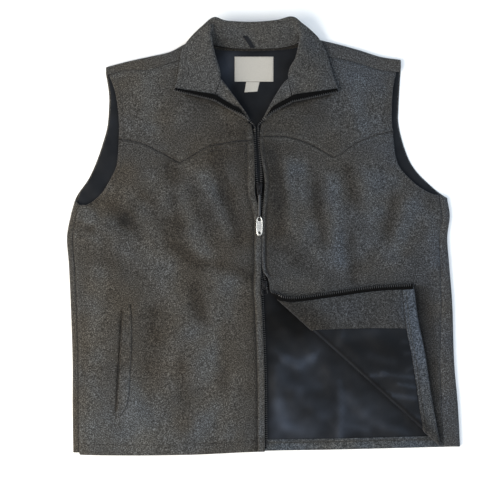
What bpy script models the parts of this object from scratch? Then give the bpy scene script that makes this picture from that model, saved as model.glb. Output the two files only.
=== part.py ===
"""Western wool vest laid on its back, zip open at the neck, lower right front turned back.

Left and right are as seen from above, with the collar at +Y. Lengths are in millimetres until
a mesh is made. The origin is on the surface that the vest lies on, under the middle of the vest.
"""

import math
from collections import namedtuple

import bmesh
import bpy
from mathutils import Matrix, Vector, geometry

MM = 0.001

# Cloth and trim thicknesses
WOOL = 2.0
SATIN = 1.0
DOUBLE_WOOL = 3.6
TAPE = 1.8
LABEL = 0.6
WELT = 1.6
SEAM_GAP = 0.3

# Heights of the middle of each layer above the surface
ROLL_RADIUS = 3.5
BACK_Z = WOOL / 2
FRONT_Z = BACK_Z + 2 * ROLL_RADIUS
LINING_Z = WOOL + SEAM_GAP + SATIN / 2
HEM_Z = WOOL + SEAM_GAP + WOOL / 2
TAPE_Z = 5.7
LABEL_Z = LINING_Z + SATIN / 2 + SEAM_GAP + LABEL / 2

# Mesh fineness
CELL = 25.0
STEP = 18.0

# Side outline, from hem to armpit: height y, left side x, right side x
Side = namedtuple("Side", "y left right")
SIDES = [
    Side(-346, -305, 314),
    Side(-270, -306, 310),
    Side(-200, -306, 304),
    Side(-107, -309, 301),
    Side(-43, -312, 296),
    Side(0, -315, 293),
    Side(34, -309, 297),
    Side(60, -302, 293),
]
LEFT_WRAP = 9.0
RIGHT_WRAP_HEM = 27.0
RIGHT_WRAP_ARMPIT = 12.0

# Hem height: x, y on the back, y on the left front
Hem = namedtuple("Hem", "x back front")
HEMS = [
    Hem(-345, -344, -346),
    Hem(-250, -345, -349),
    Hem(-120, -344, -348),
    Hem(0, -342, -343),
    Hem(120, -340, -343),
    Hem(240, -337, -340),
    Hem(345, -334, -336),
]

# Top of the shoulder and the seam in front of it: x, top y, seam y
Shoulder = namedtuple("Shoulder", "x top seam")
LEFT_SHOULDER = [
    Shoulder(-254, 271, 258),
    Shoulder(-220, 280, 267),
    Shoulder(-184, 288, 267),
    Shoulder(-150, 296, 279),
    Shoulder(-125, 309, 284),
    Shoulder(-98, 317, 292),
]
RIGHT_SHOULDER = [
    Shoulder(68, 320, 294),
    Shoulder(93, 314, 288),
    Shoulder(122, 307, 285),
    Shoulder(154, 298, 277),
    Shoulder(186, 288, 267),
    Shoulder(219, 283, 263),
]

NECKLINE = [(66, 316), (52, 309), (30, 305), (-16, 303), (-60, 304), (-82, 308), (-96, 314)]

# Armholes from the shoulder down to the armpit: edge of the back, edge of the front
LEFT_ARMHOLE_BACK = [
    (-253, 262), (-248, 230), (-248, 205), (-250.6, 176), (-258, 149), (-268, 120), (-280.5, 93),
    (-296, 71), (-303, 59),
]
LEFT_ARMHOLE_FRONT = [
    (-247, 257), (-242, 245), (-236, 223), (-232, 190), (-231.5, 156), (-235, 117), (-243, 97),
    (-257, 73), (-273, 57), (-284, 51), (-295, 52),
]
RIGHT_ARMHOLE_BACK = [
    (219, 272), (217, 245), (215, 206), (215, 181), (222, 150), (233, 121), (246, 102), (262, 86),
    (277, 73), (293, 62),
]
RIGHT_ARMHOLE_FRONT = [
    (211, 262), (205.6, 235), (204, 194), (205.6, 165), (210, 130), (217.6, 110), (235, 91),
    (251, 78), (266, 70), (281, 66),
]

# Pointed seam under each yoke, from the zip to the armhole
LEFT_YOKE_SEAM = [
    [(-16, 155), (-41, 153.6), (-65, 149.6), (-88, 145), (-106, 135), (-134, 118.4)],
    [(-134, 118.4), (-153, 129), (-171, 138.4), (-188, 147), (-210, 153.6), (-232, 156)],
]
RIGHT_YOKE_SEAM = [
    [(-7, 161), (27, 161), (46, 158), (62, 153), (83, 143.5), (111, 127)],
    [(111, 127), (126, 134.4), (142, 146.6), (160, 155.7), (179, 163), (206, 169)],
]

# Front edges beside the zip, from the yoke seam down: y, left front x, right front x
Edge = namedtuple("Edge", "y left right")
FRONT_EDGES = [
    Edge(185, -21.5, -4),
    Edge(155, -16, -7),
    Edge(125, -15, -4),
    Edge(91, -14.5, 1),
    Edge(66, -13.5, 0),
    Edge(40, -6, -2.6),
    Edge(15, -4, -3.2),
    Edge(-40, -4, -3.2),
    Edge(-56, -4.4, -1),
    Edge(-66, -5, 6),
    Edge(-88, -5, 10),
    Edge(-115, -3, 20),
    Edge(-221, 1, 20),
    Edge(-346, 1.6, 20),
]

# Line where the lower right front is turned back, and how it lies
CREASE_START = Vector((16.4, -88.0))
CREASE_END = Vector((285.4, -330.0))
CREASE_RADIUS = 2.8
FLAP_SETTLE = 1.6
SETTLE_LENGTH = 60.0
INSIDE_START = 2.2

# Cut edges of the turned-back corner, as drawn on the flat right front
FLAP_FRONT_EDGE = [(24, -120), (23.5, -179), (21, -252), (24, -315)]
FLAP_HEM_EDGE = [(28, -317.5), (76, -318.5), (138, -324), (200, -326.5), (262, -331), (285.5, -333.5)]
FACING_EDGE = [(74, -120), (78, -165), (82, -221), (90, -298)]
HEM_FOLD_EDGE = [(24, -298), (90, -298), (138, -302), (208, -304.5), (262, -308)]

# Soft folds of the fronts: ends of each ridge, half width, height
Fold = namedtuple("Fold", "x1 y1 x2 y2 width height")
FRONT_FOLDS = [
    Fold(-285, 34, -238, 12, 16, 3.4),
    Fold(-252, 2, -150, -32, 20, 2.6),
    Fold(-210, 60, -168, -6, 17, 2.0),
    Fold(-140, 70, -95, -30, 18, 2.6),
    Fold(-92, 96, -58, 14, 15, 2.4),
    Fold(-160, -60, -120, -150, 22, 2.2),
    Fold(-60, -70, -92, -215, 24, 2.6),
    Fold(-215, -235, -190, -330, 22, 2.0),
    Fold(-70, -262, -118, -338, 18, 1.8),
    Fold(-262, -60, -268, -190, 14, 1.6),
    Fold(58, 110, 70, 10, 17, 2.2),
    Fold(112, 92, 120, -38, 16, 2.6),
    Fold(170, 96, 176, 0, 18, 2.2),
    Fold(236, 44, 205, -30, 16, 2.4),
    Fold(266, 30, 276, -40, 13, 1.6),
    Fold(-185, 246, -178, 176, 18, 1.8),
    Fold(148, 240, 158, 180, 18, 1.8),
]

# Low folds of the lining inside the back
LINING_FOLDS = [
    Fold(30, -150, 62, -215, 14, 1.2),
    Fold(20, -232, 92, -262, 12, 1.1),
    Fold(104, -205, 112, -300, 11, 1.2),
    Fold(150, -262, 205, -304, 12, 1.0),
]

# Soft folds of the lining on the turned-back corner, placed where they are seen
FLAP_FOLDS = [
    Fold(116, -170, 150, -196, 14, 2.2),
    Fold(176, -160, 214, -184, 13, 2.4),
    Fold(140, -225, 225, -236, 12, 1.8),
    Fold(190, -210, 240, -256, 12, 1.6),
]

# Turned-back collar edge: y, left roll x, right roll x, height of the roll above the front
Roll = namedtuple("Roll", "y left right rise")
ROLLS = [
    Roll(183, -20, -5, 0.0),
    Roll(198, -28.5, 3, 2.2),
    Roll(218, -43, 14, 5.6),
    Roll(240, -59, 27, 9.2),
    Roll(254, -67, 34, 11.6),
    Roll(276, -70, 43, 13.0),
    Roll(300, -74, 48, 14.0),
]
ROLL_REACH = 46.0
CREST_ROUNDING = 0.7
CREST_AT = 0.3
RISE_ENDS = (256.0, 290.0)

# Collar sections: where it is sewn on, its crest, and its free edge
Section = namedtuple("Section", "bx by bz cx cy cz ex ey ez")
COLLAR_LEFT = [
    Section(-82, 218.5, 16.2, -87, 219.7, 16.0, -145, 233, 13.4),
    Section(-76, 233, 20.2, -81, 233.6, 19.8, -142, 240, 13.2),
    Section(-69.5, 252, 25.5, -74.5, 252, 25.3, -139, 250, 13.2),
    Section(-74, 265, 20.5, -70, 266, 30.0, -137, 263, 13.0),
    Section(-89, 282, 11.6, -69.5, 284, 34.0, -134, 282, 13.2),
    Section(-99, 298, 11.4, -71, 303, 37.5, -131, 298, 14.2),
    Section(-99, 309, 11.4, -75, 321, 39.0, -119, 316, 19.0),
    Section(-95, 316, 11.4, -79, 336, 38.5, -100, 334, 31.0),
    Section(-80, 308, 5.6, -80, 328, 22.0, -80, 348, 38.0),
    Section(-54, 302.8, 4.0, -57, 322, 17.0, -60, 343, 35.0),
    Section(-16, 301.6, 4.0, -18, 321, 16.0, -20, 341, 34.0),
]
COLLAR_RIGHT = [
    Section(22, 302.8, 4.0, 22, 322, 17.0, 20, 344, 35.0),
    Section(48, 308, 5.6, 47, 329, 22.0, 45, 349, 38.0),
    Section(63, 317.5, 11.4, 50, 337, 38.5, 65, 336, 31.0),
    Section(70, 310, 11.4, 49, 323, 39.0, 84, 320, 19.0),
    Section(71, 299, 11.4, 46, 305, 37.5, 95, 303, 14.2),
    Section(63, 282, 11.6, 43, 285, 34.0, 102, 286, 13.2),
    Section(44, 266, 20.5, 40, 268, 30.0, 108, 266, 13.0),
    Section(38.5, 252, 25.5, 43.5, 252, 25.3, 113, 250, 13.2),
    Section(43, 233, 20.2, 48, 233.6, 19.8, 117, 240, 13.2),
    Section(47, 216, 16.2, 52, 217, 16.0, 120, 231, 13.4),
]

# Lapel sections from the collar seam down to where the front edge lies flat again
LAPEL_LEFT = [
    Section(-68.6, 251.6, 25.5, -75.1, 232.6, 20.2, -81.1, 218.0, 16.2),
    Section(-60, 241, 23.0, -65, 227, 18.6, -69, 211, 15.6),
    Section(-43, 218, 19.0, -47, 210, 16.6, -50.5, 200, 14.6),
    Section(-28.5, 197.6, 15.0, -31, 194, 14.2, -33, 189.5, 13.4),
    Section(-22, 186.5, 12.4, -23.2, 185.3, 12.2, -24.4, 183.8, 12.0),
]
LAPEL_RIGHT = [
    Section(37.6, 251.6, 25.5, 42.1, 232.6, 20.2, 46.1, 215.5, 16.2),
    Section(28, 241, 23.0, 32, 226, 18.6, 35, 209.5, 15.6),
    Section(14, 218, 19.0, 17, 210, 16.6, 19.5, 201, 14.6),
    Section(3, 198, 15.0, 5, 194.5, 14.2, 6.4, 190.5, 13.4),
    Section(-3, 187, 12.4, -2, 185.6, 12.2, -1, 184.2, 12.0),
]

# Zip tape: how far its teeth stand out past the cloth, and its widths. The right side of the
# zip is one tape in two stretches, zip_right above the crease and zip_flap past it.
TEETH_OUT = 3.2
ZIP_INSET = 2.4
ZIP_ON_LAPEL = 8.0
ZIP_WIDTH = 13.0
TURN_STAND_OFF = 1.6

# Zip tape where it turns under the front edge: teeth x, y, z, tape x, y, z
Turn = namedtuple("Turn", "tx ty tz px py pz")
LEFT_TURN = [
    Turn(-19.0, 181.2, 15.6, -17.2, 182.0, 12.0),
    Turn(-14.6, 176, 11.0, -15.6, 176, 5.8),
    Turn(-12.9, 168, 6.2, -20.0, 168, 5.6),
]
RIGHT_TURN = [
    Turn(-5.6, 181.6, 15.6, -7.6, 182.4, 12.0),
    Turn(-9.6, 177, 11.0, -8.6, 177, 5.8),
    Turn(-10.2, 169, 6.2, -3.2, 169, 5.6),
]

# Zip below the turn: y, left teeth x, right teeth x
Chain = namedtuple("Chain", "y left right")
CHAIN = [
    Chain(155, -12.8, -10.2),
    Chain(125, -11.8, -7.4),
    Chain(96, -10.4, -5.6),
    Chain(84, -8.8, -6.6),
    Chain(74, -7.9, -7.3),
    Chain(40, -4.6, -4.0),
    Chain(10, -3.9, -3.3),
    Chain(-50, -3.9, -3.3),
    Chain(-70, -1.6, 0.6),
    Chain(-84, -1.0, 4.2),
]
LEFT_CHAIN_BELOW = [(0.2, -110), (2.4, -160), (4.6, -221), (5.4, -290), (5.6, -338)]

# Sliders and pulls
SLIDER_TOP = Vector((-7.4, 79.0))
SLIDER_BOTTOM = Vector((0.6, -77.0))
SLIDER_LENGTH = 15.0
SLIDER_WIDTH = 9.0
SLIDER_PLATE = 1.4
SLIDER_Z = 7.7
PULL_Z = 11.7
BAR_RADIUS = 0.8
BAIL_TOP = 14.4
BAIL_SPAN = 11.0
BAIL_WALL = 1.5
BAIL_WIDTH = 2.4
BAIL_SUNK = 0.5
PULL_BAR_BACK = 1.6
PULL_THICKNESS = 1.4
PULL_EYE = 8.4
PULL_EYE_HALF = 3.6
PULL_STRAP_HALF = 2.2
TAG_RING_OUT = 2.3
TAG_RING_IN = 1.4
TAG_BAR = 0.75
TAG_THICKNESS = 1.3
PULLER_LENGTH = 46.0
TAG_LENGTH = 30.0
TAG_WIDTH = 10.0
RING_LENGTH = 14.0

# Pocket welt: the open side at the left, the sewn side at the right
POCKET = [
    (-227, -116), (-214.5, -109), (-211.5, -160), (-214.5, -223), (-217, -261), (-228, -283),
    (-236.5, -282), (-234, -223), (-230.5, -182),
]

COLOURS = {
    "wool": ((0.058, 0.056, 0.052), 0.95, 0.0),
    "wool_right": ((0.052, 0.053, 0.052), 0.95, 0.0),
    "collar_wool": ((0.078, 0.078, 0.075), 0.95, 0.0),
    "lining": ((0.022, 0.023, 0.025), 0.45, 0.0),
    "zip": ((0.012, 0.012, 0.013), 0.55, 0.0),
    "label": ((0.74, 0.72, 0.68), 0.8, 0.0),
    "black_metal": ((0.03, 0.03, 0.032), 0.35, 0.7),
    "silver": ((0.62, 0.61, 0.58), 0.3, 1.0),
}


def clear_scene():
    for old in list(bpy.data.objects):
        bpy.data.objects.remove(old, do_unlink=True)


def material(name):
    made = bpy.data.materials.get(name)
    if made is None:
        colour, roughness, metallic = COLOURS[name]
        made = bpy.data.materials.new(name)
        made.use_nodes = True
        shader = made.node_tree.nodes["Principled BSDF"]
        shader.inputs["Base Color"].default_value = (*colour, 1.0)
        shader.inputs["Roughness"].default_value = roughness
        shader.inputs["Metallic"].default_value = metallic
        made.diffuse_color = (*colour, 1.0)
    return made


def smoothstep(value):
    t = min(max(value, 0.0), 1.0)
    return t * t * (3 - 2 * t)


def along(rows, key, column, where):
    """Value of a table's column at a place, on a smooth curve through its rows."""
    rows = sorted(rows, key=lambda row: getattr(row, key))
    keys = [getattr(row, key) for row in rows]
    values = [getattr(row, column) for row in rows]
    if where <= keys[0]:
        return values[0]
    if where >= keys[-1]:
        return values[-1]
    i = max(n for n in range(len(keys) - 1) if keys[n] <= where)
    slopes = []
    for n in (i, i + 1):
        low, high = max(n - 1, 0), min(n + 1, len(keys) - 1)
        slopes.append((values[high] - values[low]) / (keys[high] - keys[low]))
    span = keys[i + 1] - keys[i]
    t = (where - keys[i]) / span
    return (
        values[i] * (1 + 2 * t) * (1 - t) ** 2
        + slopes[0] * span * t * (1 - t) ** 2
        + values[i + 1] * t * t * (3 - 2 * t)
        + slopes[1] * span * t * t * (t - 1)
    )


def curve(points, step=STEP):
    """Smooth curve through points, as a list of points about a step apart."""
    points = [Vector(p) for p in points]
    result = []
    for i in range(len(points) - 1):
        p1, p2 = points[i], points[i + 1]
        p0 = points[i - 1] if i else 2 * p1 - p2
        p3 = points[i + 2] if i + 2 < len(points) else 2 * p2 - p1
        count = max(1, round((p2 - p1).length / step))
        for n in range(count):
            t = n / count
            result.append(
                0.5 * (2 * p1 + (p2 - p0) * t + (2 * p0 - 5 * p1 + 4 * p2 - p3) * t * t
                       + (3 * p1 - p0 - 3 * p2 + p3) * t ** 3)
            )
    result.append(points[-1])
    return result


def spread(low, high, step=STEP):
    """Evenly spaced numbers from low to high, about a step apart."""
    count = max(1, round(abs(high - low) / step))
    return [low + (high - low) * n / count for n in range(count + 1)]


def ridge(x, y, fold):
    along_x, along_y = fold.x2 - fold.x1, fold.y2 - fold.y1
    t = ((x - fold.x1) * along_x + (y - fold.y1) * along_y) / (along_x ** 2 + along_y ** 2)
    t = min(max(t, 0.0), 1.0)
    away = math.hypot(x - fold.x1 - t * along_x, y - fold.y1 - t * along_y)
    return fold.height * math.exp(-(away / fold.width) ** 2)


def folds_at(x, y, folds):
    return sum(ridge(x, y, fold) for fold in folds)


def neck_rise(x, y):
    """How far the cloth beside the roll of the lapels and collar is lifted."""
    side = "left" if x < along(ROLLS, "y", "left", y) + 20 else "right"
    best = (1e9, 0.0)
    for n in range(25):
        roll_y = 183 + n * 5
        away = math.hypot(x - along(ROLLS, "y", side, roll_y), y - roll_y)
        best = min(best, (away, along(ROLLS, "y", "rise", roll_y)))
    fade = 1 - smoothstep((y - RISE_ENDS[0]) / (RISE_ENDS[1] - RISE_ENDS[0]))
    return best[1] * fade * (1 - smoothstep(best[0] / ROLL_REACH))


def front_height(x, y):
    return FRONT_Z + folds_at(x, y, FRONT_FOLDS) + (neck_rise(x, y) if y > 160 else 0.0)


def place_front(x, y, lift):
    return Vector((x, y, front_height(x, y) + lift))


def side_fold(y, side):
    """Where the back starts to roll up at the side."""
    inset = WOOL / 2 + ROLL_RADIUS
    return along(SIDES, "y", side, y) + (inset if side == "left" else -inset)


def side_seam(y, side):
    if side == "left":
        return along(SIDES, "y", "left", y) + LEFT_WRAP
    part = smoothstep((y + 346) / 406)
    return along(SIDES, "y", "right", y) - RIGHT_WRAP_HEM + (RIGHT_WRAP_HEM - RIGHT_WRAP_ARMPIT) * part


def shoulder_rows(x):
    return LEFT_SHOULDER if x < -16 else RIGHT_SHOULDER


def shoulder_fold(x):
    return along(shoulder_rows(x), "x", "top", x) - WOOL / 2 - ROLL_RADIUS


def rolled(past, lift):
    """Distance out and height of a point that far past the start of a roll of the back."""
    turn = past / ROLL_RADIUS
    if turn < math.pi:
        reach = ROLL_RADIUS - lift
        return reach * math.sin(turn), BACK_Z + ROLL_RADIUS - reach * math.cos(turn)
    return -(past - math.pi * ROLL_RADIUS), FRONT_Z - lift


def place_back(x, y, lift):
    """The back: flat, and rolled over to the front at the sides and shoulders."""
    if y < 64 and x < side_fold(y, "left"):
        edge = side_fold(y, "left")
        out, height = rolled(edge - x, lift)
        px, py = edge - out, y
    elif y < 67 and x > side_fold(y, "right"):
        edge = side_fold(y, "right")
        out, height = rolled(x - edge, lift)
        px, py = edge + out, y
    elif not -95.5 < x < 65.5 and y > shoulder_fold(x):
        edge = shoulder_fold(x)
        out, height = rolled(y - edge, lift)
        px, py = x, edge + out
    else:
        return Vector((x, y, BACK_Z + lift))
    if out < 0:
        height += folds_at(px, py, FRONT_FOLDS) * smoothstep(-out / 12)
    return Vector((px, py, height))


def lining_height(x, y):
    return LINING_Z + folds_at(x, y, LINING_FOLDS)


def place_lining(x, y, lift):
    return Vector((x, y, lining_height(x, y) + lift))


# Distances past the crease at which the cloth bends
BENDS = [math.pi * CREASE_RADIUS * n / 4 for n in range(5)] + [22.0, 34.0, 46.0, 58.0]
CREASE_ALONG = (CREASE_END - CREASE_START).normalized()
CREASE_OUT = Vector((CREASE_ALONG.y, -CREASE_ALONG.x))


def past_crease(x, y):
    return (Vector((x, y)) - CREASE_START).dot(CREASE_OUT)


def place_right_front(x, y, lift):
    """The right front, flat or turned back over the crease; lift is towards its outer side."""
    past = past_crease(x, y)
    if past <= 0:
        return place_front(x, y, lift)
    line = Vector((x, y)) - CREASE_OUT * past
    turn = past / CREASE_RADIUS
    if turn < math.pi:
        reach = CREASE_RADIUS - lift
        spot = line + CREASE_OUT * reach * math.sin(turn)
        base = front_height(line.x, line.y) + CREASE_RADIUS
        return Vector((spot.x, spot.y, base - reach * math.cos(turn)))
    back = past - math.pi * CREASE_RADIUS
    spot = line - CREASE_OUT * back
    rise = 2 * CREASE_RADIUS - FLAP_SETTLE * smoothstep(back / SETTLE_LENGTH)
    return Vector((spot.x, spot.y, front_height(spot.x, spot.y) + rise - lift))


def place_flap_lining(x, y, lift):
    """The lining of the turned-back corner, which has looser folds than the wool under it."""
    spot = place_right_front(x, y, lift)
    back = past_crease(x, y) - math.pi * CREASE_RADIUS
    if back > 0:
        spot.z += folds_at(spot.x, spot.y, FLAP_FOLDS) * smoothstep(back / 20)
    return spot


def inside(x, y, outline):
    """Whether a point is inside a closed outline."""
    found = False
    for a, b in zip(outline, outline[1:] + outline[:1]):
        if (a[1] > y) != (b[1] > y) and x < a[0] + (y - a[1]) / (b[1] - a[1]) * (b[0] - a[0]):
            found = not found
    return found


def away_from(spot, a, b):
    """Distance from a point to the stretch from a to b."""
    run = b - a
    t = min(max((spot - a).dot(run) / max(run.length_squared, 1e-9), 0.0), 1.0)
    return (spot - a - run * t).length


def cut_pattern(outline, cell, lines=()):
    """Flat cut piece of cloth in triangles: outline, a square grid inside, and lines to bend at."""
    outline = [Vector(p) for p in outline]
    points = list(outline)
    edges = [(n, (n + 1) % len(points)) for n in range(len(points))]
    for line in lines:
        start = len(points)
        points += [Vector(p) for p in line]
        edges += [(n, n + 1) for n in range(start, len(points) - 1)]
    stretches = [(points[a], points[b]) for a, b in edges]
    xs = [p.x for p in outline]
    ys = [p.y for p in outline]
    for i in range(math.ceil(min(xs) / cell), math.floor(max(xs) / cell) + 1):
        for j in range(math.ceil(min(ys) / cell), math.floor(max(ys) / cell) + 1):
            spot = Vector((i * cell, j * cell))
            if inside(spot.x, spot.y, outline):
                if min(away_from(spot, a, b) for a, b in stretches) > 0.4 * cell:
                    points.append(spot)
    made = geometry.delaunay_2d_cdt(points, edges, [], 0, 1e-4)
    verts, faces = made[0], made[2]
    kept = []
    for face in faces:
        middle = sum((verts[n] for n in face), Vector((0, 0))) / len(face)
        if inside(middle.x, middle.y, outline):
            kept.append(face)
    used = sorted({n for face in kept for n in face})
    place = {old: new for new, old in enumerate(used)}
    return [verts[n] for n in used], [[place[n] for n in face] for face in kept]


def solid_from_faces(name, points, faces, look, smooth=True):
    mesh = bpy.data.meshes.new(name)
    mesh.from_pydata([tuple(p * MM) for p in points], [], faces)
    bm = bmesh.new()
    bm.from_mesh(mesh)
    bmesh.ops.recalc_face_normals(bm, faces=bm.faces[:])
    if bm.calc_volume(signed=True) < 0:
        bmesh.ops.reverse_faces(bm, faces=bm.faces[:])
    bm.to_mesh(mesh)
    bm.free()
    if smooth:
        mesh.shade_smooth()
        mesh.set_sharp_from_angle(angle=math.radians(50))
    mesh.materials.append(material(look))
    made = bpy.data.objects.new(name, mesh)
    bpy.context.scene.collection.objects.link(made)
    return made


def cloth(name, outline, place, thickness, look, lift=0.0, cell=CELL, lines=()):
    """Closed wall of cloth: two faces half a thickness either side of a placed pattern."""
    verts, faces = cut_pattern(outline, cell, lines)
    count = len(verts)
    points = [place(v.x, v.y, lift + thickness / 2) for v in verts]
    points += [place(v.x, v.y, lift - thickness / 2) for v in verts]
    sides = {}
    for face in faces:
        for a, b in zip(face, face[1:] + face[:1]):
            sides[(a, b)] = True
    rim = [[b, a, a + count, b + count] for a, b in sides if (b, a) not in sides]
    faces = faces + [[n + count for n in reversed(face)] for face in faces] + rim
    return solid_from_faces(name, points, faces, look)


def section_point(section, w):
    """Point of a section, from its sewn side at 0, over its crest, to its free edge at 1."""
    base = Vector((section.bx, section.by, section.bz))
    crest = Vector((section.cx, section.cy, section.cz))
    edge = Vector((section.ex, section.ey, section.ez))
    rise, fall = (crest - base).length, (edge - crest).length
    share = rise / (rise + fall)
    u = share * w / CREST_AT if w < CREST_AT else share + (1 - share) * (w - CREST_AT) / (1 - CREST_AT)
    # A rounded corner at the crest
    corner = CREST_ROUNDING * min(share, 1 - share)
    if u < share - corner:
        return base.lerp(crest, u / share)
    if u > share + corner:
        return crest.lerp(edge, (u - share) / (1 - share))
    start = base.lerp(crest, (share - corner) / share)
    end = crest.lerp(edge, corner / (1 - share))
    t = (u - share + corner) / (2 * corner)
    return start.lerp(crest, t).lerp(crest.lerp(end, t), t)


def between_sections(sections, s):
    """Section at a place s along a list of sections, on a smooth curve through them."""
    i = min(int(s), len(sections) - 2)
    t = s - i
    p1, p2 = sections[i], sections[i + 1]
    p0 = sections[max(i - 1, 0)]
    p3 = sections[min(i + 2, len(sections) - 1)]
    values = []
    for a, b, c, d in zip(p0, p1, p2, p3):
        bend = (2 * a - 5 * b + 4 * c - d) * t * t
        values.append(0.5 * (2 * b + (c - a) * t + bend + (3 * b - a - 3 * c + d) * t ** 3))
    return Section(*values)


def loft_point(sections, s, u, lift=0.0):
    """Point of a lofted piece, moved out by a lift from its middle surface."""
    last = len(sections) - 1
    spot = section_point(between_sections(sections, s), u)
    if not lift:
        return spot
    ds, du = 0.02, 0.01
    low_s, high_s = max(s - ds, 0), min(s + ds, last)
    low_u, high_u = max(u - du, 0), min(u + du, 1)
    across = section_point(between_sections(sections, s), high_u)
    across -= section_point(between_sections(sections, s), low_u)
    forward = section_point(between_sections(sections, high_s), u)
    forward -= section_point(between_sections(sections, low_s), u)
    normal = forward.cross(across).normalized()
    return spot + normal * lift


def lofted(name, sections, thickness, look, rows_between, columns, outward):
    """Closed wall through a list of sections; outward is 1 or -1, for which side is the top."""
    s_values = [n / rows_between for n in range((len(sections) - 1) * rows_between + 1)]
    width = columns + 1
    points = []
    for side in (1, -1):
        for s in s_values:
            for n in range(width):
                points.append(loft_point(sections, s, n / columns, outward * side * thickness / 2))
    half = len(s_values) * width
    faces = []
    for i in range(len(s_values) - 1):
        for j in range(columns):
            a = i * width + j
            quad = [a, a + 1, a + width + 1, a + width]
            faces.append(quad)
            faces.append([q + half for q in reversed(quad)])
    rim = [j for j in range(width)]
    rim += [i * width + columns for i in range(1, len(s_values))]
    rim += [(len(s_values) - 1) * width + j for j in range(columns - 1, -1, -1)]
    rim += [i * width for i in range(len(s_values) - 2, 0, -1)]
    for a, b in zip(rim, rim[1:] + rim[:1]):
        faces.append([b, a, a + half, b + half])
    return solid_from_faces(name, points, faces, look)


def ribbon(name, stations, thickness, look):
    """Flat band through stations of (teeth side, tape side, normal)."""
    points = []
    for outer, inner, normal in stations:
        shift = normal * thickness / 2
        points += [outer + shift, inner + shift, inner - shift, outer - shift]
    faces = [[3, 2, 1, 0], [len(points) - 4 + n for n in range(4)]]
    for i in range(len(stations) - 1):
        for n in range(4):
            a, b = 4 * i + n, 4 * i + (n + 1) % 4
            faces.append([a, b, b + 4, a + 4])
    return solid_from_faces(name, points, faces, look)


def seam_side(rows, side, gap):
    """A seam's points, moved half a gap to one side."""
    return [(x, y + side * gap / 2) for x, y in rows]


def joined(*parts):
    """One outline from several stretches, without doubled corners."""
    outline = []
    for part in parts:
        for p in part:
            p = (p[0], p[1])
            if not outline or math.dist(outline[-1], p) > 0.05:
                outline.append(p)
    if math.dist(outline[0], outline[-1]) < 0.05:
        outline.pop()
    return outline


def build_back():
    """Wool back with its side and shoulder turns, its lining and its hem."""
    roll = [math.pi * ROLL_RADIUS * n / 4 for n in range(5)]

    def tab(side, y):
        sign = -1 if side == "left" else 1
        edge = side_fold(y, side)
        return edge + sign * (math.pi * ROLL_RADIUS) - (side_seam(y, side) - edge)

    def shoulder_tab(x):
        edge = shoulder_fold(x)
        return edge + math.pi * ROLL_RADIUS + edge - along(shoulder_rows(x), "x", "seam", x)

    outline = joined(
        [(tab("left", y), y) for y in spread(52, -344, 30)],
        [(x, along(HEMS, "x", "back", x)) for x in spread(-300, 300, 30)],
        [(tab("right", y), y) for y in spread(-334, 66, 30)],
        reversed(curve(RIGHT_ARMHOLE_BACK)),
        [(x, shoulder_tab(x)) for x in [218] + spread(211, 68)],
        curve(NECKLINE),
        [(x, shoulder_tab(x)) for x in spread(-98, -246) + [-252]],
        curve(LEFT_ARMHOLE_BACK),
    )
    lines = []
    for past in roll:
        lines.append([(side_fold(y, "left") - past, y) for y in spread(-360, 57, 30)])
        lines.append([(side_fold(y, "right") + past, y) for y in spread(-360, 64, 30)])
        lines.append([(x, shoulder_fold(x) + past) for x in spread(-262, -90)])
        lines.append([(x, shoulder_fold(x) + past) for x in spread(60, 228)])
    cloth("back", outline, place_back, WOOL, "wool", cell=34, lines=lines)

    strip = 18.0
    hem_top = [(x, along(HEMS, "x", "back", x) + strip) for x in spread(-288, 288, 30)]
    hem_low = [(x, along(HEMS, "x", "back", x) + 0.6) for x in spread(288, -288, 30)]

    def place_hem(x, y, lift):
        return Vector((x, y, HEM_Z + lift))

    cloth("back_hem", joined(hem_top, hem_low), place_hem, WOOL, "wool", cell=40)
    inset = 2.5
    lining = joined(
        [(side_fold(y, "left") + 1, y) for y in spread(56, along(HEMS, "x", "back", -300) + strip, 40)],
        [(x, y + SEAM_GAP) for x, y in hem_top],
        [(side_fold(y, "right") - 1, y) for y in spread(along(HEMS, "x", "back", 300) + strip, 58, 40)],
        [(x - inset, y) for x, y in reversed(curve(RIGHT_ARMHOLE_BACK[:-1]))],
        [(x, shoulder_fold(x) - 2) for x in spread(214, 70)],
        [(x, y - 6) for x, y in curve(NECKLINE)],
        [(x, shoulder_fold(x) - 2) for x in spread(-100, -248)],
        [(x + inset, y) for x, y in curve(LEFT_ARMHOLE_BACK[:-1])],
    )
    cloth("back_lining", lining, place_lining, SATIN, "lining", cell=30)


def pocket_outline(closed=False):
    points = curve(POCKET + POCKET[:1])
    return points if closed else points[:-1]


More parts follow.
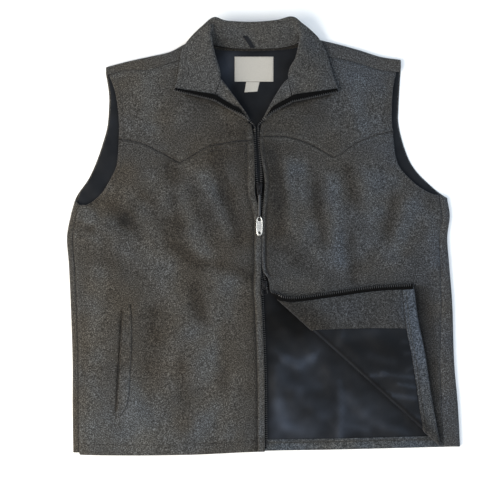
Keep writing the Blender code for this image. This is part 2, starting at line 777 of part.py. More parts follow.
def build_fronts():
    """Lower fronts and yokes, meeting at the pointed seams."""
    left_seam = joined(*[curve(part) for part in LEFT_YOKE_SEAM])
    right_seam = joined(*[curve(part) for part in RIGHT_YOKE_SEAM])
    gap = 2 * SEAM_GAP

    def edge(side, high, low, step=STEP):
        return [(along(FRONT_EDGES, "y", side, y), y) for y in spread(high, low, step)]

    side_y = spread(-344, 51, 30)
    outline = joined(
        reversed(seam_side(left_seam, -1, gap)),
        edge("left", 154, -342, 14),
        [(x, along(HEMS, "x", "front", x)) for x in spread(1, -294, 30)],
        [(side_seam(y, "left") + SEAM_GAP, y) for y in side_y],
        [p for p in reversed(curve(LEFT_ARMHOLE_FRONT[4:-1])) if p.y < 150],
    )
    cloth("front_left", outline, place_front, WOOL, "wool", lines=[pocket_outline(closed=True)])

    neck = [(-98, 291), (-92, 278), (-85, 266), (-74, 254), (-65, 240)]
    neck += [(-49, 216.5), (-34, 196), (-24.5, 182)]
    outline = joined(
        seam_side(left_seam, 1, gap),
        [p for p in reversed(curve(LEFT_ARMHOLE_FRONT[:5])) if p.y > 160],
        [(x, along(LEFT_SHOULDER, "x", "seam", x) - SEAM_GAP) for x in spread(-246, -98)],
        curve(neck),
        edge("left", 181, 156, 12),
    )
    cloth("yoke_left", outline, place_front, WOOL, "wool")

    neck = [(68, 293), (63, 279), (57, 268), (45, 254), (34, 240)]
    neck += [(20, 217), (8, 196), (0.5, 184)]
    outline = joined(
        seam_side(right_seam, 1, gap),
        [p for p in reversed(curve(RIGHT_ARMHOLE_FRONT[:4])) if p.y > 173],
        [(x, along(RIGHT_SHOULDER, "x", "seam", x) - SEAM_GAP) for x in spread(211, 68)],
        curve(neck),
        edge("right", 182, 162, 12),
    )
    cloth("yoke_right", outline, place_front, WOOL, "wool_right")

    lines = crease_lines(BENDS)
    outline = joined(
        seam_side(right_seam, -1, gap),
        [p for p in curve(RIGHT_ARMHOLE_FRONT[3:]) if p.y < 164],
        [(side_seam(y, "right") - SEAM_GAP, y) for y in spread(64, -333, 30)],
        reversed(curve(FLAP_HEM_EDGE)),
        reversed(curve(FLAP_FRONT_EDGE)),
        edge("right", -88, 160, 14),
    )
    cloth("front_right", outline, place_right_front, WOOL, "wool_right", lines=lines)


def crease_lines(distances):
    """Lines beside the crease, at distances past it."""
    lines = []
    for past in distances:
        middle = CREASE_START + CREASE_OUT * past
        lines.append([middle - CREASE_ALONG * 120, middle + CREASE_ALONG * 480])
    return lines


def clipped(outline, past):
    """The part of an outline that lies further than a distance past the crease."""
    kept = []
    for a, b in zip(outline, outline[1:] + outline[:1]):
        da, db = past_crease(*a) - past, past_crease(*b) - past
        if da >= 0:
            kept.append(a)
        if (da >= 0) != (db >= 0):
            t = da / (da - db)
            kept.append((a[0] + (b[0] - a[0]) * t, a[1] + (b[1] - a[1]) * t))
    return kept


def build_flap():
    """Facing, lining, hem and zip tape on the inside of the turned-back corner."""
    under = -(WOOL / 2 + SEAM_GAP)
    lines = crease_lines(BENDS[1:])
    front_edge = curve([(13.5, -92)] + FLAP_FRONT_EDGE)
    zip_edge = [(x + ZIP_ON_LAPEL - TEETH_OUT + SEAM_GAP, y) for x, y in front_edge]
    hem_top = curve(HEM_FOLD_EDGE)
    facing = joined(
        curve(FACING_EDGE[:-1] + [(90, -298 + SEAM_GAP)]),
        [(zip_edge[-1][0], -298 + SEAM_GAP)],
        [(x, y) for x, y in reversed(zip_edge) if y > -297],
        [(40, -80), (70, -90)],
    )
    cloth("flap_facing", clipped(facing, INSIDE_START), place_right_front, WOOL, "collar_wool",
          lift=under - WOOL / 2, lines=lines)
    lining = joined(
        [(x + SEAM_GAP, y) for x, y in curve(FACING_EDGE[:-1] + [(90, -298 + SEAM_GAP)])],
        [(x, y + SEAM_GAP) for x, y in hem_top if x > 91],
        [(290, -290), (290, -120)],
    )
    cloth("flap_lining", clipped(lining, INSIDE_START), place_flap_lining, SATIN, "lining",
          lift=under - SATIN / 2, lines=lines, cell=CELL / 2)
    hem = joined(
        [(zip_edge[-1][0], -298)],
        [(x, y) for x, y in hem_top if x > zip_edge[-1][0] + 1],
        [(284, -310), (288, -331)],
        [(x, y + 1) for x, y in reversed(curve(FLAP_HEM_EDGE)) if x > zip_edge[-1][0] + 1],
        [(zip_edge[-1][0], -316)],
    )
    cloth("flap_hem", clipped(hem, INSIDE_START), place_right_front, WOOL, "collar_wool",
          lift=under - WOOL / 2, lines=lines)
    tape = joined(
        [(x - TEETH_OUT, y) for x, y in front_edge],
        [(x + ZIP_ON_LAPEL - TEETH_OUT, y) for x, y in reversed(front_edge)],
    )
    cloth("zip_flap", clipped(tape, 0.6), place_right_front, TAPE, "zip",
          lift=under - TAPE / 2, lines=lines, cell=60)


def build_collar():
    """Collar from tip to tip, and the lapels that carry on from it down the front edges."""
    sections = COLLAR_LEFT + COLLAR_RIGHT
    lofted("collar", sections, DOUBLE_WOOL, "collar_wool", 3, 10, -1)
    lofted("lapel_left", LAPEL_LEFT, DOUBLE_WOOL, "collar_wool", 3, 5, 1)
    lofted("lapel_right", LAPEL_RIGHT, DOUBLE_WOOL, "collar_wool", 3, 5, -1)


def front_stations(sections, side, top):
    """Zip stations along the front end of the collar and down the lapel."""
    lift = DOUBLE_WOOL / 2 + 2 * SEAM_GAP + TAPE / 2
    stations = []
    end, step_back = (0, 1) if side == "left" else (len(sections) - 1, -1)
    for n in range(7):
        u = 0.985 - n * 0.145
        first = loft_point(sections, end, u)
        second = loft_point(sections, end + step_back * 0.5, u)
        span = (second - first).length
        outer_s = end + step_back * 0.5 * ZIP_INSET / span
        inner_s = end + step_back * 0.5 * min((ZIP_INSET + ZIP_ON_LAPEL) / span, 1.4)
        outer = loft_point(sections, outer_s, u, top * lift)
        inner = loft_point(sections, inner_s, u, top * lift)
        stations.append((outer, inner))
    return stations


def lapel_stations(sections, top):
    """Zip stations down the lapel; the tape stands off a little where it starts to turn over."""
    stations = []
    count = 8
    for n in range(count):
        s = (len(sections) - 1.8) * (0.03 + 0.97 * n / (count - 1))
        lift = top * (DOUBLE_WOOL / 2 + 2 * SEAM_GAP + TAPE / 2 + TURN_STAND_OFF * (n / (count - 1)) ** 3)
        width = (loft_point(sections, s, 1.0) - loft_point(sections, s, 0.5)).length * 2
        outer_u = 1 - min(ZIP_INSET / width, 0.3)
        inner_u = 1 - min((ZIP_INSET + ZIP_ON_LAPEL) / width, 0.8)
        outer = loft_point(sections, s, outer_u, lift)
        inner = loft_point(sections, s, inner_u, lift)
        stations.append((outer, inner))
    return stations


def with_normals(pairs):
    """Adds to each pair of edge points the direction square to the band."""
    stations = []
    for n, (outer, inner) in enumerate(pairs):
        before = pairs[max(n - 1, 0)]
        after = pairs[min(n + 1, len(pairs) - 1)]
        forward = (after[0] + after[1] - before[0] - before[1]) / 2
        normal = forward.cross(inner - outer).normalized()
        stations.append((outer, inner, normal))
    return stations


def build_zips():
    sides = (
        ("left", COLLAR_LEFT, LAPEL_LEFT, LEFT_TURN, 1, -1, -1),
        ("right", COLLAR_RIGHT, LAPEL_RIGHT, RIGHT_TURN, 1, 1, 1),
    )
    for side, collar, lapel, turns, collar_top, lapel_top, out in sides:
        pairs = front_stations(collar, side, collar_top)
        pairs += lapel_stations(lapel, lapel_top)
        for turn in turns:
            pairs.append((Vector((turn.tx, turn.ty, turn.tz)), Vector((turn.px, turn.py, turn.pz))))
        for y in spread(CHAIN[0].y, CHAIN[-1].y, 14):
            x = along(CHAIN, "y", side, y)
            pairs.append((Vector((x, y, TAPE_Z)), Vector((x + out * ZIP_WIDTH, y, TAPE_Z))))
        if side == "left":
            for x, y in curve(LEFT_CHAIN_BELOW, 30):
                pairs.append((Vector((x, y, TAPE_Z)), Vector((x - ZIP_WIDTH, y, TAPE_Z))))
        ribbon("zip_" + side, with_normals(pairs), TAPE, "zip")


def box_part(low, high):
    """Corner points and faces of a box."""
    zs, ys, xs = (low[2], high[2]), (low[1], high[1]), (low[0], high[0])
    points = [Vector((x, y, z)) for z in zs for y in ys for x in xs]
    faces = [[0, 2, 3, 1], [4, 5, 7, 6], [0, 1, 5, 4], [2, 6, 7, 3], [0, 4, 6, 2], [1, 3, 7, 5]]
    return points, faces


def extruded(name, outline, hole, place, thickness, look):
    """Flat plate from an outline with one hole, placed by a function of (u, v, w)."""
    levels = (thickness / 2, -thickness / 2)
    points = [place(u, v, w) for w in levels for u, v in list(outline) + list(hole)]
    n, m = len(outline), len(hole)
    half = n + m
    flat = [Vector(p) for p in outline] + [Vector(p) for p in hole]
    edges = [(i, (i + 1) % n) for i in range(n)] + [(n + i, n + (i + 1) % m) for i in range(m)]
    made = geometry.delaunay_2d_cdt(flat, edges, [], 0, 1e-5)
    faces = []
    for face in made[2]:
        middle = sum((made[0][k] for k in face), Vector((0, 0))) / 3
        if inside(middle.x, middle.y, [Vector(p) for p in outline]):
            if not inside(middle.x, middle.y, [Vector(p) for p in hole]):
                face = [made[3][k][0] for k in face]
                faces += [face, [k + half for k in reversed(face)]]
    for a, b in edges:
        faces.append([b, a, a + half, b + half])
    return solid_from_faces(name, points, faces, look, smooth=False)


def rounded(width, length, corner, steps=3):
    """Outline of a rectangle with round corners, centred on zero."""
    points = []
    for k, (sx, sy) in enumerate(((1, 1), (-1, 1), (-1, -1), (1, -1))):
        for n in range(steps + 1):
            angle = math.pi / 2 * (k + n / steps)
            points.append((
                sx * (width / 2 - corner) + corner * math.cos(angle),
                sy * (length / 2 - corner) + corner * math.sin(angle),
            ))
    return points


def set_origin(made, pivot):
    """Moves an object's origin to a point and leaves its shape where it is."""
    pivot = Vector(pivot) * MM
    made.data.transform(Matrix.Translation(-pivot))
    made.location = pivot


def union(parts):
    """Makes the first of several overlapping solids into one with the others."""
    base = parts[0]
    for other in parts[1:]:
        cut = base.modifiers.new("union", "BOOLEAN")
        cut.operation = "UNION"
        cut.object = other
        other.hide_render = True
        other.display_type = "WIRE"
    return base


def simple_box(name, low, high, look):
    points, faces = box_part(low, high)
    return solid_from_faces(name, points, faces, look, smooth=False)


def build_slider(name, middle):
    """Slider plate with the bail that its pull hangs from."""
    x, y = middle
    top = SLIDER_Z + SLIDER_PLATE / 2
    low = SLIDER_Z - SLIDER_PLATE / 2
    plate = simple_box(name, (x - SLIDER_WIDTH / 2, y - SLIDER_LENGTH / 2, low),
                       (x + SLIDER_WIDTH / 2, y + SLIDER_LENGTH / 2, top), "black_metal")
    feet = top - BAIL_SUNK
    half, crown, rise = BAIL_SPAN / 2, BAIL_SPAN / 4, BAIL_TOP - feet
    shoulder = rise * 0.6
    outer = [(-half, 0), (half, 0), (half, shoulder), (crown, rise), (-crown, rise), (-half, shoulder)]
    half, crown, rise = half - BAIL_WALL, crown - 0.4, rise - BAIL_WALL
    inner = [(-half, 0.8), (half, 0.8), (half, shoulder), (crown, rise), (-crown, rise), (-half, shoulder)]

    def place(u, v, w):
        return Vector((x + w, y + u, feet + v))

    bail = extruded(name + "_bail", outer, inner, place, BAIL_WIDTH, "black_metal")
    union([plate, bail])


def build_pulls():
    build_slider("slider_top", SLIDER_TOP)
    build_slider("slider_bottom", SLIDER_BOTTOM)

    x, y = SLIDER_TOP
    bar_y = y - PULL_BAR_BACK
    bar, eye, wide, thin = BAR_RADIUS, -PULL_EYE, PULL_EYE_HALF, PULL_STRAP_HALF
    end = -PULLER_LENGTH + 3.4

    def flat(u, v, w):
        return Vector((x + u, bar_y + v, PULL_Z + w))

    half = [(wide, bar), (wide, eye), (thin, eye - 4), (thin, end + 2.6), (thin - 0.7, end)]
    outer = half + [(-u, v) for u, v in reversed(half)]
    inner = [(-2.0, -bar), (2.0, -bar), (2.0, eye + 0.4), (-2.0, eye + 0.4)]
    strip = extruded("pull_top", outer, inner, flat, PULL_THICKNESS, "black_metal")
    ring_y = bar_y - PULLER_LENGTH
    circle = [(math.cos(math.tau * n / 12), math.sin(math.tau * n / 12)) for n in range(12)]

    def upright(u, v, w):
        return Vector((x + w, ring_y + u, PULL_Z + v))

    ring = extruded("pull_top_ring", [(TAG_RING_OUT * c, TAG_RING_OUT * s) for c, s in circle],
                    [(TAG_RING_IN * c, TAG_RING_IN * s) for c, s in circle], upright, 2.4, "black_metal")
    bridge = simple_box("pull_top_neck", (x - 1.2, ring_y + TAG_RING_OUT - 0.5, PULL_Z - 0.6),
                        (x + 1.2, ring_y + 4.4, PULL_Z + 0.6), "black_metal")
    union([strip, ring, bridge])
    for piece in (strip, ring, bridge):
        set_origin(piece, (x, bar_y, PULL_Z))

    outline = [(u, v - TAG_LENGTH / 2 + TAG_BAR) for u, v in rounded(TAG_WIDTH, TAG_LENGTH, 3.0)]
    hole = [(u, v - TAG_BAR - 2.6) for u, v in rounded(5.0, 5.2, 1.4, 2)]

    def tag_place(u, v, w):
        return Vector((x + u, ring_y + v, PULL_Z + w))

    tag = extruded("pull_tag", outline, hole, tag_place, TAG_THICKNESS, "silver")
    set_origin(tag, (x, ring_y, PULL_Z))

    x, y = SLIDER_BOTTOM
    low_bar = y - PULL_BAR_BACK

    def low_flat(u, v, w):
        return Vector((x + u, low_bar + v, PULL_Z + w))

    outer = [(-wide, bar), (wide, bar), (6.2, -RING_LENGTH), (-6.2, -RING_LENGTH)]
    inner = [(-2.2, -bar), (2.2, -bar), (4.4, -RING_LENGTH + 1.8), (-4.4, -RING_LENGTH + 1.8)]
    ring = extruded("pull_bottom", outer, inner, low_flat, PULL_THICKNESS, "black_metal")
    set_origin(ring, (x, low_bar, PULL_Z))


def build_neck_trim():
    """Bare label, size tab and hanger loop at the back of the neck, and the pocket welt."""

    def place(x, y, lift):
        return Vector((x, y, lining_height(x, y) + LABEL_Z - LINING_Z + lift))

    label = [(-47, 288.3), (-47, 248.4), (15, 248.4), (15, 288.3)]
    cloth("neck_label", label, place, LABEL, "label", cell=40)
    tab = [(-28.5, 248.0), (-31.4, 231.2), (-10.7, 232.6), (-7, 248.0)]
    cloth("size_tab", tab, place, LABEL, "label", cell=40)
    sections = COLLAR_LEFT + COLLAR_RIGHT
    middle = len(COLLAR_LEFT) - 1
    lift = DOUBLE_WOOL / 2 + SEAM_GAP + 0.7
    pairs = []
    for n in range(6):
        share = n / 5
        s = middle - 0.05 - 0.26 * share
        u = 0.03 + 0.3 * share
        outer = loft_point(sections, s - 0.09, u, lift)
        inner = loft_point(sections, s + 0.09, u, lift)
        pairs.append((outer, inner))
    ribbon("hanger_loop", with_normals(pairs), 1.4, "lining")
    cloth("pocket_welt", pocket_outline(), place_front, WELT, "wool",
          lift=WOOL / 2 + SEAM_GAP + WELT / 2)


def main():
    clear_scene()
    build_back()
    build_fronts()
    build_flap()
    build_collar()
    build_zips()
    build_pulls()
    build_neck_trim()


main()
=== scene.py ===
"""Looks of the western wool vest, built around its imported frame.

Left and right are as seen from above, with the collar at +Y. Lengths are in millimetres until
a mesh is made, in the frame's own axes and origin.
"""

import math
from collections import namedtuple

import bmesh
import bpy
import numpy as np
from mathutils import Matrix, Vector, geometry


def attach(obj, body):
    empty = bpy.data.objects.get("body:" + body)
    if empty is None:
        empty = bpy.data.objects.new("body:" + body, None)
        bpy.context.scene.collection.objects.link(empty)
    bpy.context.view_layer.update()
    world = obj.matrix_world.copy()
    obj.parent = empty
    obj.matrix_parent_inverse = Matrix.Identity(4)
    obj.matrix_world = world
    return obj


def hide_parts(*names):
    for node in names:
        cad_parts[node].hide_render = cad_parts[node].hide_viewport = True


MM = 0.001

# Cloth and trim thicknesses
WOOL = 2.0
SATIN = 1.0
DOUBLE_WOOL = 3.6
TAPE = 1.8
LABEL = 0.6
WELT = 1.6
SEAM_GAP = 0.3

# Heights of the middle of each layer above the surface
ROLL_RADIUS = 3.5
BACK_Z = WOOL / 2
FRONT_Z = BACK_Z + 2 * ROLL_RADIUS
LINING_Z = WOOL + SEAM_GAP + SATIN / 2
HEM_Z = WOOL + SEAM_GAP + WOOL / 2
TAPE_Z = 5.7
LABEL_Z = LINING_Z + SATIN / 2 + SEAM_GAP + LABEL / 2

# Spacing of the points inside a piece of cloth
CELL = 4.4

# Side outline, from hem to armpit: height y, left side x, right side x
Side = namedtuple("Side", "y left right")
SIDES = [
    Side(-346, -305, 314),
    Side(-270, -306, 310),
    Side(-200, -306, 304),
    Side(-107, -309, 301),
    Side(-43, -312, 296),
    Side(0, -315, 293),
    Side(34, -309, 297),
    Side(60, -302, 293),
]
LEFT_WRAP = 9.0
RIGHT_WRAP_HEM = 27.0
RIGHT_WRAP_ARMPIT = 12.0

# Hem height: x, y on the back, y on the left front
Hem = namedtuple("Hem", "x back front")
HEMS = [
    Hem(-345, -344, -346),
    Hem(-250, -345, -349),
    Hem(-120, -344, -348),
    Hem(0, -342, -343),
    Hem(120, -340, -343),
    Hem(240, -337, -340),
    Hem(345, -334, -336),
]

# Top of the shoulder and the seam in front of it: x, top y, seam y
Shoulder = namedtuple("Shoulder", "x top seam")
LEFT_SHOULDER = [
    Shoulder(-254, 271, 258),
    Shoulder(-220, 280, 267),
    Shoulder(-184, 288, 267),
    Shoulder(-150, 296, 279),
    Shoulder(-125, 309, 284),
    Shoulder(-98, 317, 292),
]
RIGHT_SHOULDER = [
    Shoulder(68, 320, 294),
    Shoulder(93, 314, 288),
    Shoulder(122, 307, 285),
    Shoulder(154, 298, 277),
    Shoulder(186, 288, 267),
    Shoulder(219, 283, 263),
]

NECKLINE = [(66, 316), (52, 309), (30, 305), (-16, 303), (-60, 304), (-82, 308), (-96, 314)]

# Armholes from the shoulder down to the armpit: edge of the back, edge of the front
LEFT_ARMHOLE_BACK = [
    (-253, 262), (-248, 230), (-248, 205), (-250.6, 176), (-258, 149), (-268, 120), (-280.5, 93),
    (-296, 71), (-303, 59),
]
LEFT_ARMHOLE_FRONT = [
    (-247, 257), (-242, 245), (-236, 223), (-232, 190), (-231.5, 156), (-235, 117), (-243, 97),
    (-257, 73), (-273, 57), (-284, 51), (-295, 52),
]
RIGHT_ARMHOLE_BACK = [
    (219, 272), (217, 245), (215, 206), (215, 181), (222, 150), (233, 121), (246, 102), (262, 86),
    (277, 73), (293, 62),
]
RIGHT_ARMHOLE_FRONT = [
    (211, 262), (205.6, 235), (204, 194), (205.6, 165), (210, 130), (217.6, 110), (235, 91),
    (251, 78), (266, 70), (281, 66),
]

# Pointed seam under each yoke, from the zip to the armhole
LEFT_YOKE_SEAM = [
    [(-16, 155), (-41, 153.6), (-65, 149.6), (-88, 145), (-106, 135), (-134, 118.4)],
    [(-134, 118.4), (-153, 129), (-171, 138.4), (-188, 147), (-210, 153.6), (-232, 156)],
]
RIGHT_YOKE_SEAM = [
    [(-7, 161), (27, 161), (46, 158), (62, 153), (83, 143.5), (111, 127)],
    [(111, 127), (126, 134.4), (142, 146.6), (160, 155.7), (179, 163), (206, 169)],
]

# Front edges beside the zip, from the yoke seam down: y, left front x, right front x
Edge = namedtuple("Edge", "y left right")
FRONT_EDGES = [
    Edge(185, -21.5, -4),
    Edge(155, -16, -7),
    Edge(125, -15, -4),
    Edge(91, -14.5, 1),
    Edge(66, -13.5, 0),
    Edge(40, -6, -2.6),
    Edge(15, -4, -3.2),
    Edge(-40, -4, -3.2),
    Edge(-56, -4.4, -1),
    Edge(-66, -5, 6),
    Edge(-88, -5, 10),
    Edge(-115, -3, 20),
    Edge(-221, 1, 20),
    Edge(-346, 1.6, 20),
]

# Line where the lower right front is turned back, and how it lies
CREASE_START = np.array([16.4, -88.0])
CREASE_END = np.array([285.4, -330.0])
CREASE_ALONG = (CREASE_END - CREASE_START) / np.linalg.norm(CREASE_END - CREASE_START)
CREASE_OUT = np.array([CREASE_ALONG[1], -CREASE_ALONG[0]])
CREASE_RADIUS = 2.8
FLAP_SETTLE = 1.6
SETTLE_LENGTH = 60.0
INSIDE_START = 2.2

# Cut edges of the turned-back corner, as drawn on the flat right front
FLAP_FRONT_EDGE = [(24, -120), (23.5, -179), (21, -252), (24, -315)]
FLAP_HEM_EDGE = [(28, -317.5), (76, -318.5), (138, -324), (200, -326.5), (262, -331), (285.5, -333.5)]
FACING_EDGE = [(74, -120), (78, -165), (82, -221), (90, -298)]
HEM_FOLD_EDGE = [(24, -298), (90, -298), (138, -302), (208, -304.5), (262, -308)]

# Soft folds of the fronts: ends of each ridge, half width, height
Fold = namedtuple("Fold", "x1 y1 x2 y2 width height")
FRONT_FOLDS = [
    Fold(-285, 34, -238, 12, 16, 3.4),
    Fold(-252, 2, -150, -32, 20, 2.6),
    Fold(-210, 60, -168, -6, 17, 2.0),
    Fold(-140, 70, -95, -30, 18, 2.6),
    Fold(-92, 96, -58, 14, 15, 2.4),
    Fold(-160, -60, -120, -150, 22, 2.2),
    Fold(-60, -70, -92, -215, 24, 2.6),
    Fold(-215, -235, -190, -330, 22, 2.0),
    Fold(-70, -262, -118, -338, 18, 1.8),
    Fold(-262, -60, -268, -190, 14, 1.6),
    Fold(58, 110, 70, 10, 17, 2.2),
    Fold(112, 92, 120, -38, 16, 2.6),
    Fold(170, 96, 176, 0, 18, 2.2),
    Fold(236, 44, 205, -30, 16, 2.4),
    Fold(266, 30, 276, -40, 13, 1.6),
    Fold(-185, 246, -178, 176, 18, 1.8),
    Fold(148, 240, 158, 180, 18, 1.8),
]

# Low folds of the lining inside the back
LINING_FOLDS = [
    Fold(30, -150, 62, -215, 14, 1.2),
    Fold(20, -232, 92, -262, 12, 1.1),
    Fold(104, -205, 112, -300, 11, 1.2),
    Fold(150, -262, 205, -304, 12, 1.0),
]

# Soft folds of the lining on the turned-back corner, placed where they are seen
FLAP_FOLDS = [
    Fold(116, -170, 150, -196, 14, 2.2),
    Fold(176, -160, 214, -184, 13, 2.4),
    Fold(140, -225, 225, -236, 12, 1.8),
    Fold(190, -210, 240, -256, 12, 1.6),
]

# Turned-back collar edge: y, left roll x, right roll x, height of the roll above the front
Roll = namedtuple("Roll", "y left right rise")
ROLLS = [
    Roll(183, -20, -5, 0.0),
    Roll(198, -28.5, 3, 2.2),
    Roll(218, -43, 14, 5.6),
    Roll(240, -59, 27, 9.2),
    Roll(254, -67, 34, 11.6),
    Roll(276, -70, 43, 13.0),
    Roll(300, -74, 48, 14.0),
]
ROLL_REACH = 46.0
CREST_ROUNDING = 0.7
CREST_AT = 0.3
RISE_ENDS = (256.0, 290.0)

# Collar sections: where it is sewn on, its crest, and its free edge
Section = namedtuple("Section", "bx by bz cx cy cz ex ey ez")
COLLAR_LEFT = [
    Section(-82, 218.5, 16.2, -87, 219.7, 16.0, -145, 233, 13.4),
    Section(-76, 233, 20.2, -81, 233.6, 19.8, -142, 240, 13.2),
    Section(-69.5, 252, 25.5, -74.5, 252, 25.3, -139, 250, 13.2),
    Section(-74, 265, 20.5, -70, 266, 30.0, -137, 263, 13.0),
    Section(-89, 282, 11.6, -69.5, 284, 34.0, -134, 282, 13.2),
    Section(-99, 298, 11.4, -71, 303, 37.5, -131, 298, 14.2),
    Section(-99, 309, 11.4, -75, 321, 39.0, -119, 316, 19.0),
    Section(-95, 316, 11.4, -79, 336, 38.5, -100, 334, 31.0),
    Section(-80, 308, 5.6, -80, 328, 22.0, -80, 348, 38.0),
    Section(-54, 302.8, 4.0, -57, 322, 17.0, -60, 343, 35.0),
    Section(-16, 301.6, 4.0, -18, 321, 16.0, -20, 341, 34.0),
]
COLLAR_RIGHT = [
    Section(22, 302.8, 4.0, 22, 322, 17.0, 20, 344, 35.0),
    Section(48, 308, 5.6, 47, 329, 22.0, 45, 349, 38.0),
    Section(63, 317.5, 11.4, 50, 337, 38.5, 65, 336, 31.0),
    Section(70, 310, 11.4, 49, 323, 39.0, 84, 320, 19.0),
    Section(71, 299, 11.4, 46, 305, 37.5, 95, 303, 14.2),
    Section(63, 282, 11.6, 43, 285, 34.0, 102, 286, 13.2),
    Section(44, 266, 20.5, 40, 268, 30.0, 108, 266, 13.0),
    Section(38.5, 252, 25.5, 43.5, 252, 25.3, 113, 250, 13.2),
    Section(43, 233, 20.2, 48, 233.6, 19.8, 117, 240, 13.2),
    Section(47, 216, 16.2, 52, 217, 16.0, 120, 231, 13.4),
]

# Lapel sections from the collar seam down to where the front edge lies flat again
LAPEL_LEFT = [
    Section(-68.6, 251.6, 25.5, -75.1, 232.6, 20.2, -81.1, 218.0, 16.2),
    Section(-60, 241, 23.0, -65, 227, 18.6, -69, 211, 15.6),
    Section(-43, 218, 19.0, -47, 210, 16.6, -50.5, 200, 14.6),
    Section(-28.5, 197.6, 15.0, -31, 194, 14.2, -33, 189.5, 13.4),
    Section(-22, 186.5, 12.4, -23.2, 185.3, 12.2, -24.4, 183.8, 12.0),
]
LAPEL_RIGHT = [
    Section(37.6, 251.6, 25.5, 42.1, 232.6, 20.2, 46.1, 215.5, 16.2),
    Section(28, 241, 23.0, 32, 226, 18.6, 35, 209.5, 15.6),
    Section(14, 218, 19.0, 17, 210, 16.6, 19.5, 201, 14.6),
    Section(3, 198, 15.0, 5, 194.5, 14.2, 6.4, 190.5, 13.4),
    Section(-3, 187, 12.4, -2, 185.6, 12.2, -1, 184.2, 12.0),
]

# Zip tape: how far its teeth stand out past the cloth, and its widths. The right side of the
# zip is one tape in two stretches, zip_right above the crease and zip_flap past it.
TEETH_OUT = 3.2
ZIP_INSET = 2.4
ZIP_ON_LAPEL = 8.0
ZIP_WIDTH = 13.0
TURN_STAND_OFF = 1.6

# Zip tape where it turns under the front edge: teeth x, y, z, tape x, y, z
Turn = namedtuple("Turn", "tx ty tz px py pz")
LEFT_TURN = [
    Turn(-19.0, 181.2, 15.6, -17.2, 182.0, 12.0),
    Turn(-14.6, 176, 11.0, -15.6, 176, 5.8),
    Turn(-12.9, 168, 6.2, -20.0, 168, 5.6),
]
RIGHT_TURN = [
    Turn(-5.6, 181.6, 15.6, -7.6, 182.4, 12.0),
    Turn(-9.6, 177, 11.0, -8.6, 177, 5.8),
    Turn(-10.2, 169, 6.2, -3.2, 169, 5.6),
]

# Zip below the turn: y, left teeth x, right teeth x
Chain = namedtuple("Chain", "y left right")
CHAIN = [
    Chain(155, -12.8, -10.2),
    Chain(125, -11.8, -7.4),
    Chain(96, -10.4, -5.6),
    Chain(84, -8.8, -6.6),
    Chain(74, -7.9, -7.3),
    Chain(40, -4.6, -4.0),
    Chain(10, -3.9, -3.3),
    Chain(-50, -3.9, -3.3),
    Chain(-70, -1.6, 0.6),
    Chain(-84, -1.0, 4.2),
]
LEFT_CHAIN_BELOW = [(0.2, -110), (2.4, -160), (4.6, -221), (5.4, -290), (5.6, -338)]

# Sliders and pulls
SLIDER_TOP = (-7.4, 79.0)
SLIDER_BOTTOM = (0.6, -77.0)
SLIDER_LENGTH = 15.0
SLIDER_WIDTH = 9.0
SLIDER_PLATE = 1.4
SLIDER_Z = 7.7
PULL_Z = 11.7
BAR_RADIUS = 0.8
BAIL_TOP = 14.4
BAIL_SPAN = 11.0
BAIL_WALL = 1.5
BAIL_WIDTH = 2.4
PULL_BAR_BACK = 1.6
PULL_THICKNESS = 1.4
PULL_EYE = 8.4
PULL_EYE_HALF = 3.6
TAG_RING_OUT = 2.3
TAG_RING_IN = 1.4
TAG_BAR = 0.75
TAG_THICKNESS = 1.3
PULLER_LENGTH = 46.0
TAG_LENGTH = 30.0
TAG_WIDTH = 10.0
RING_LENGTH = 14.0

# Pocket welt: the open side at the left, the sewn side at the right
POCKET = [
    (-227, -116), (-214.5, -109), (-211.5, -160), (-214.5, -223), (-217, -261), (-228, -283),
    (-236.5, -282), (-234, -223), (-230.5, -182),
]

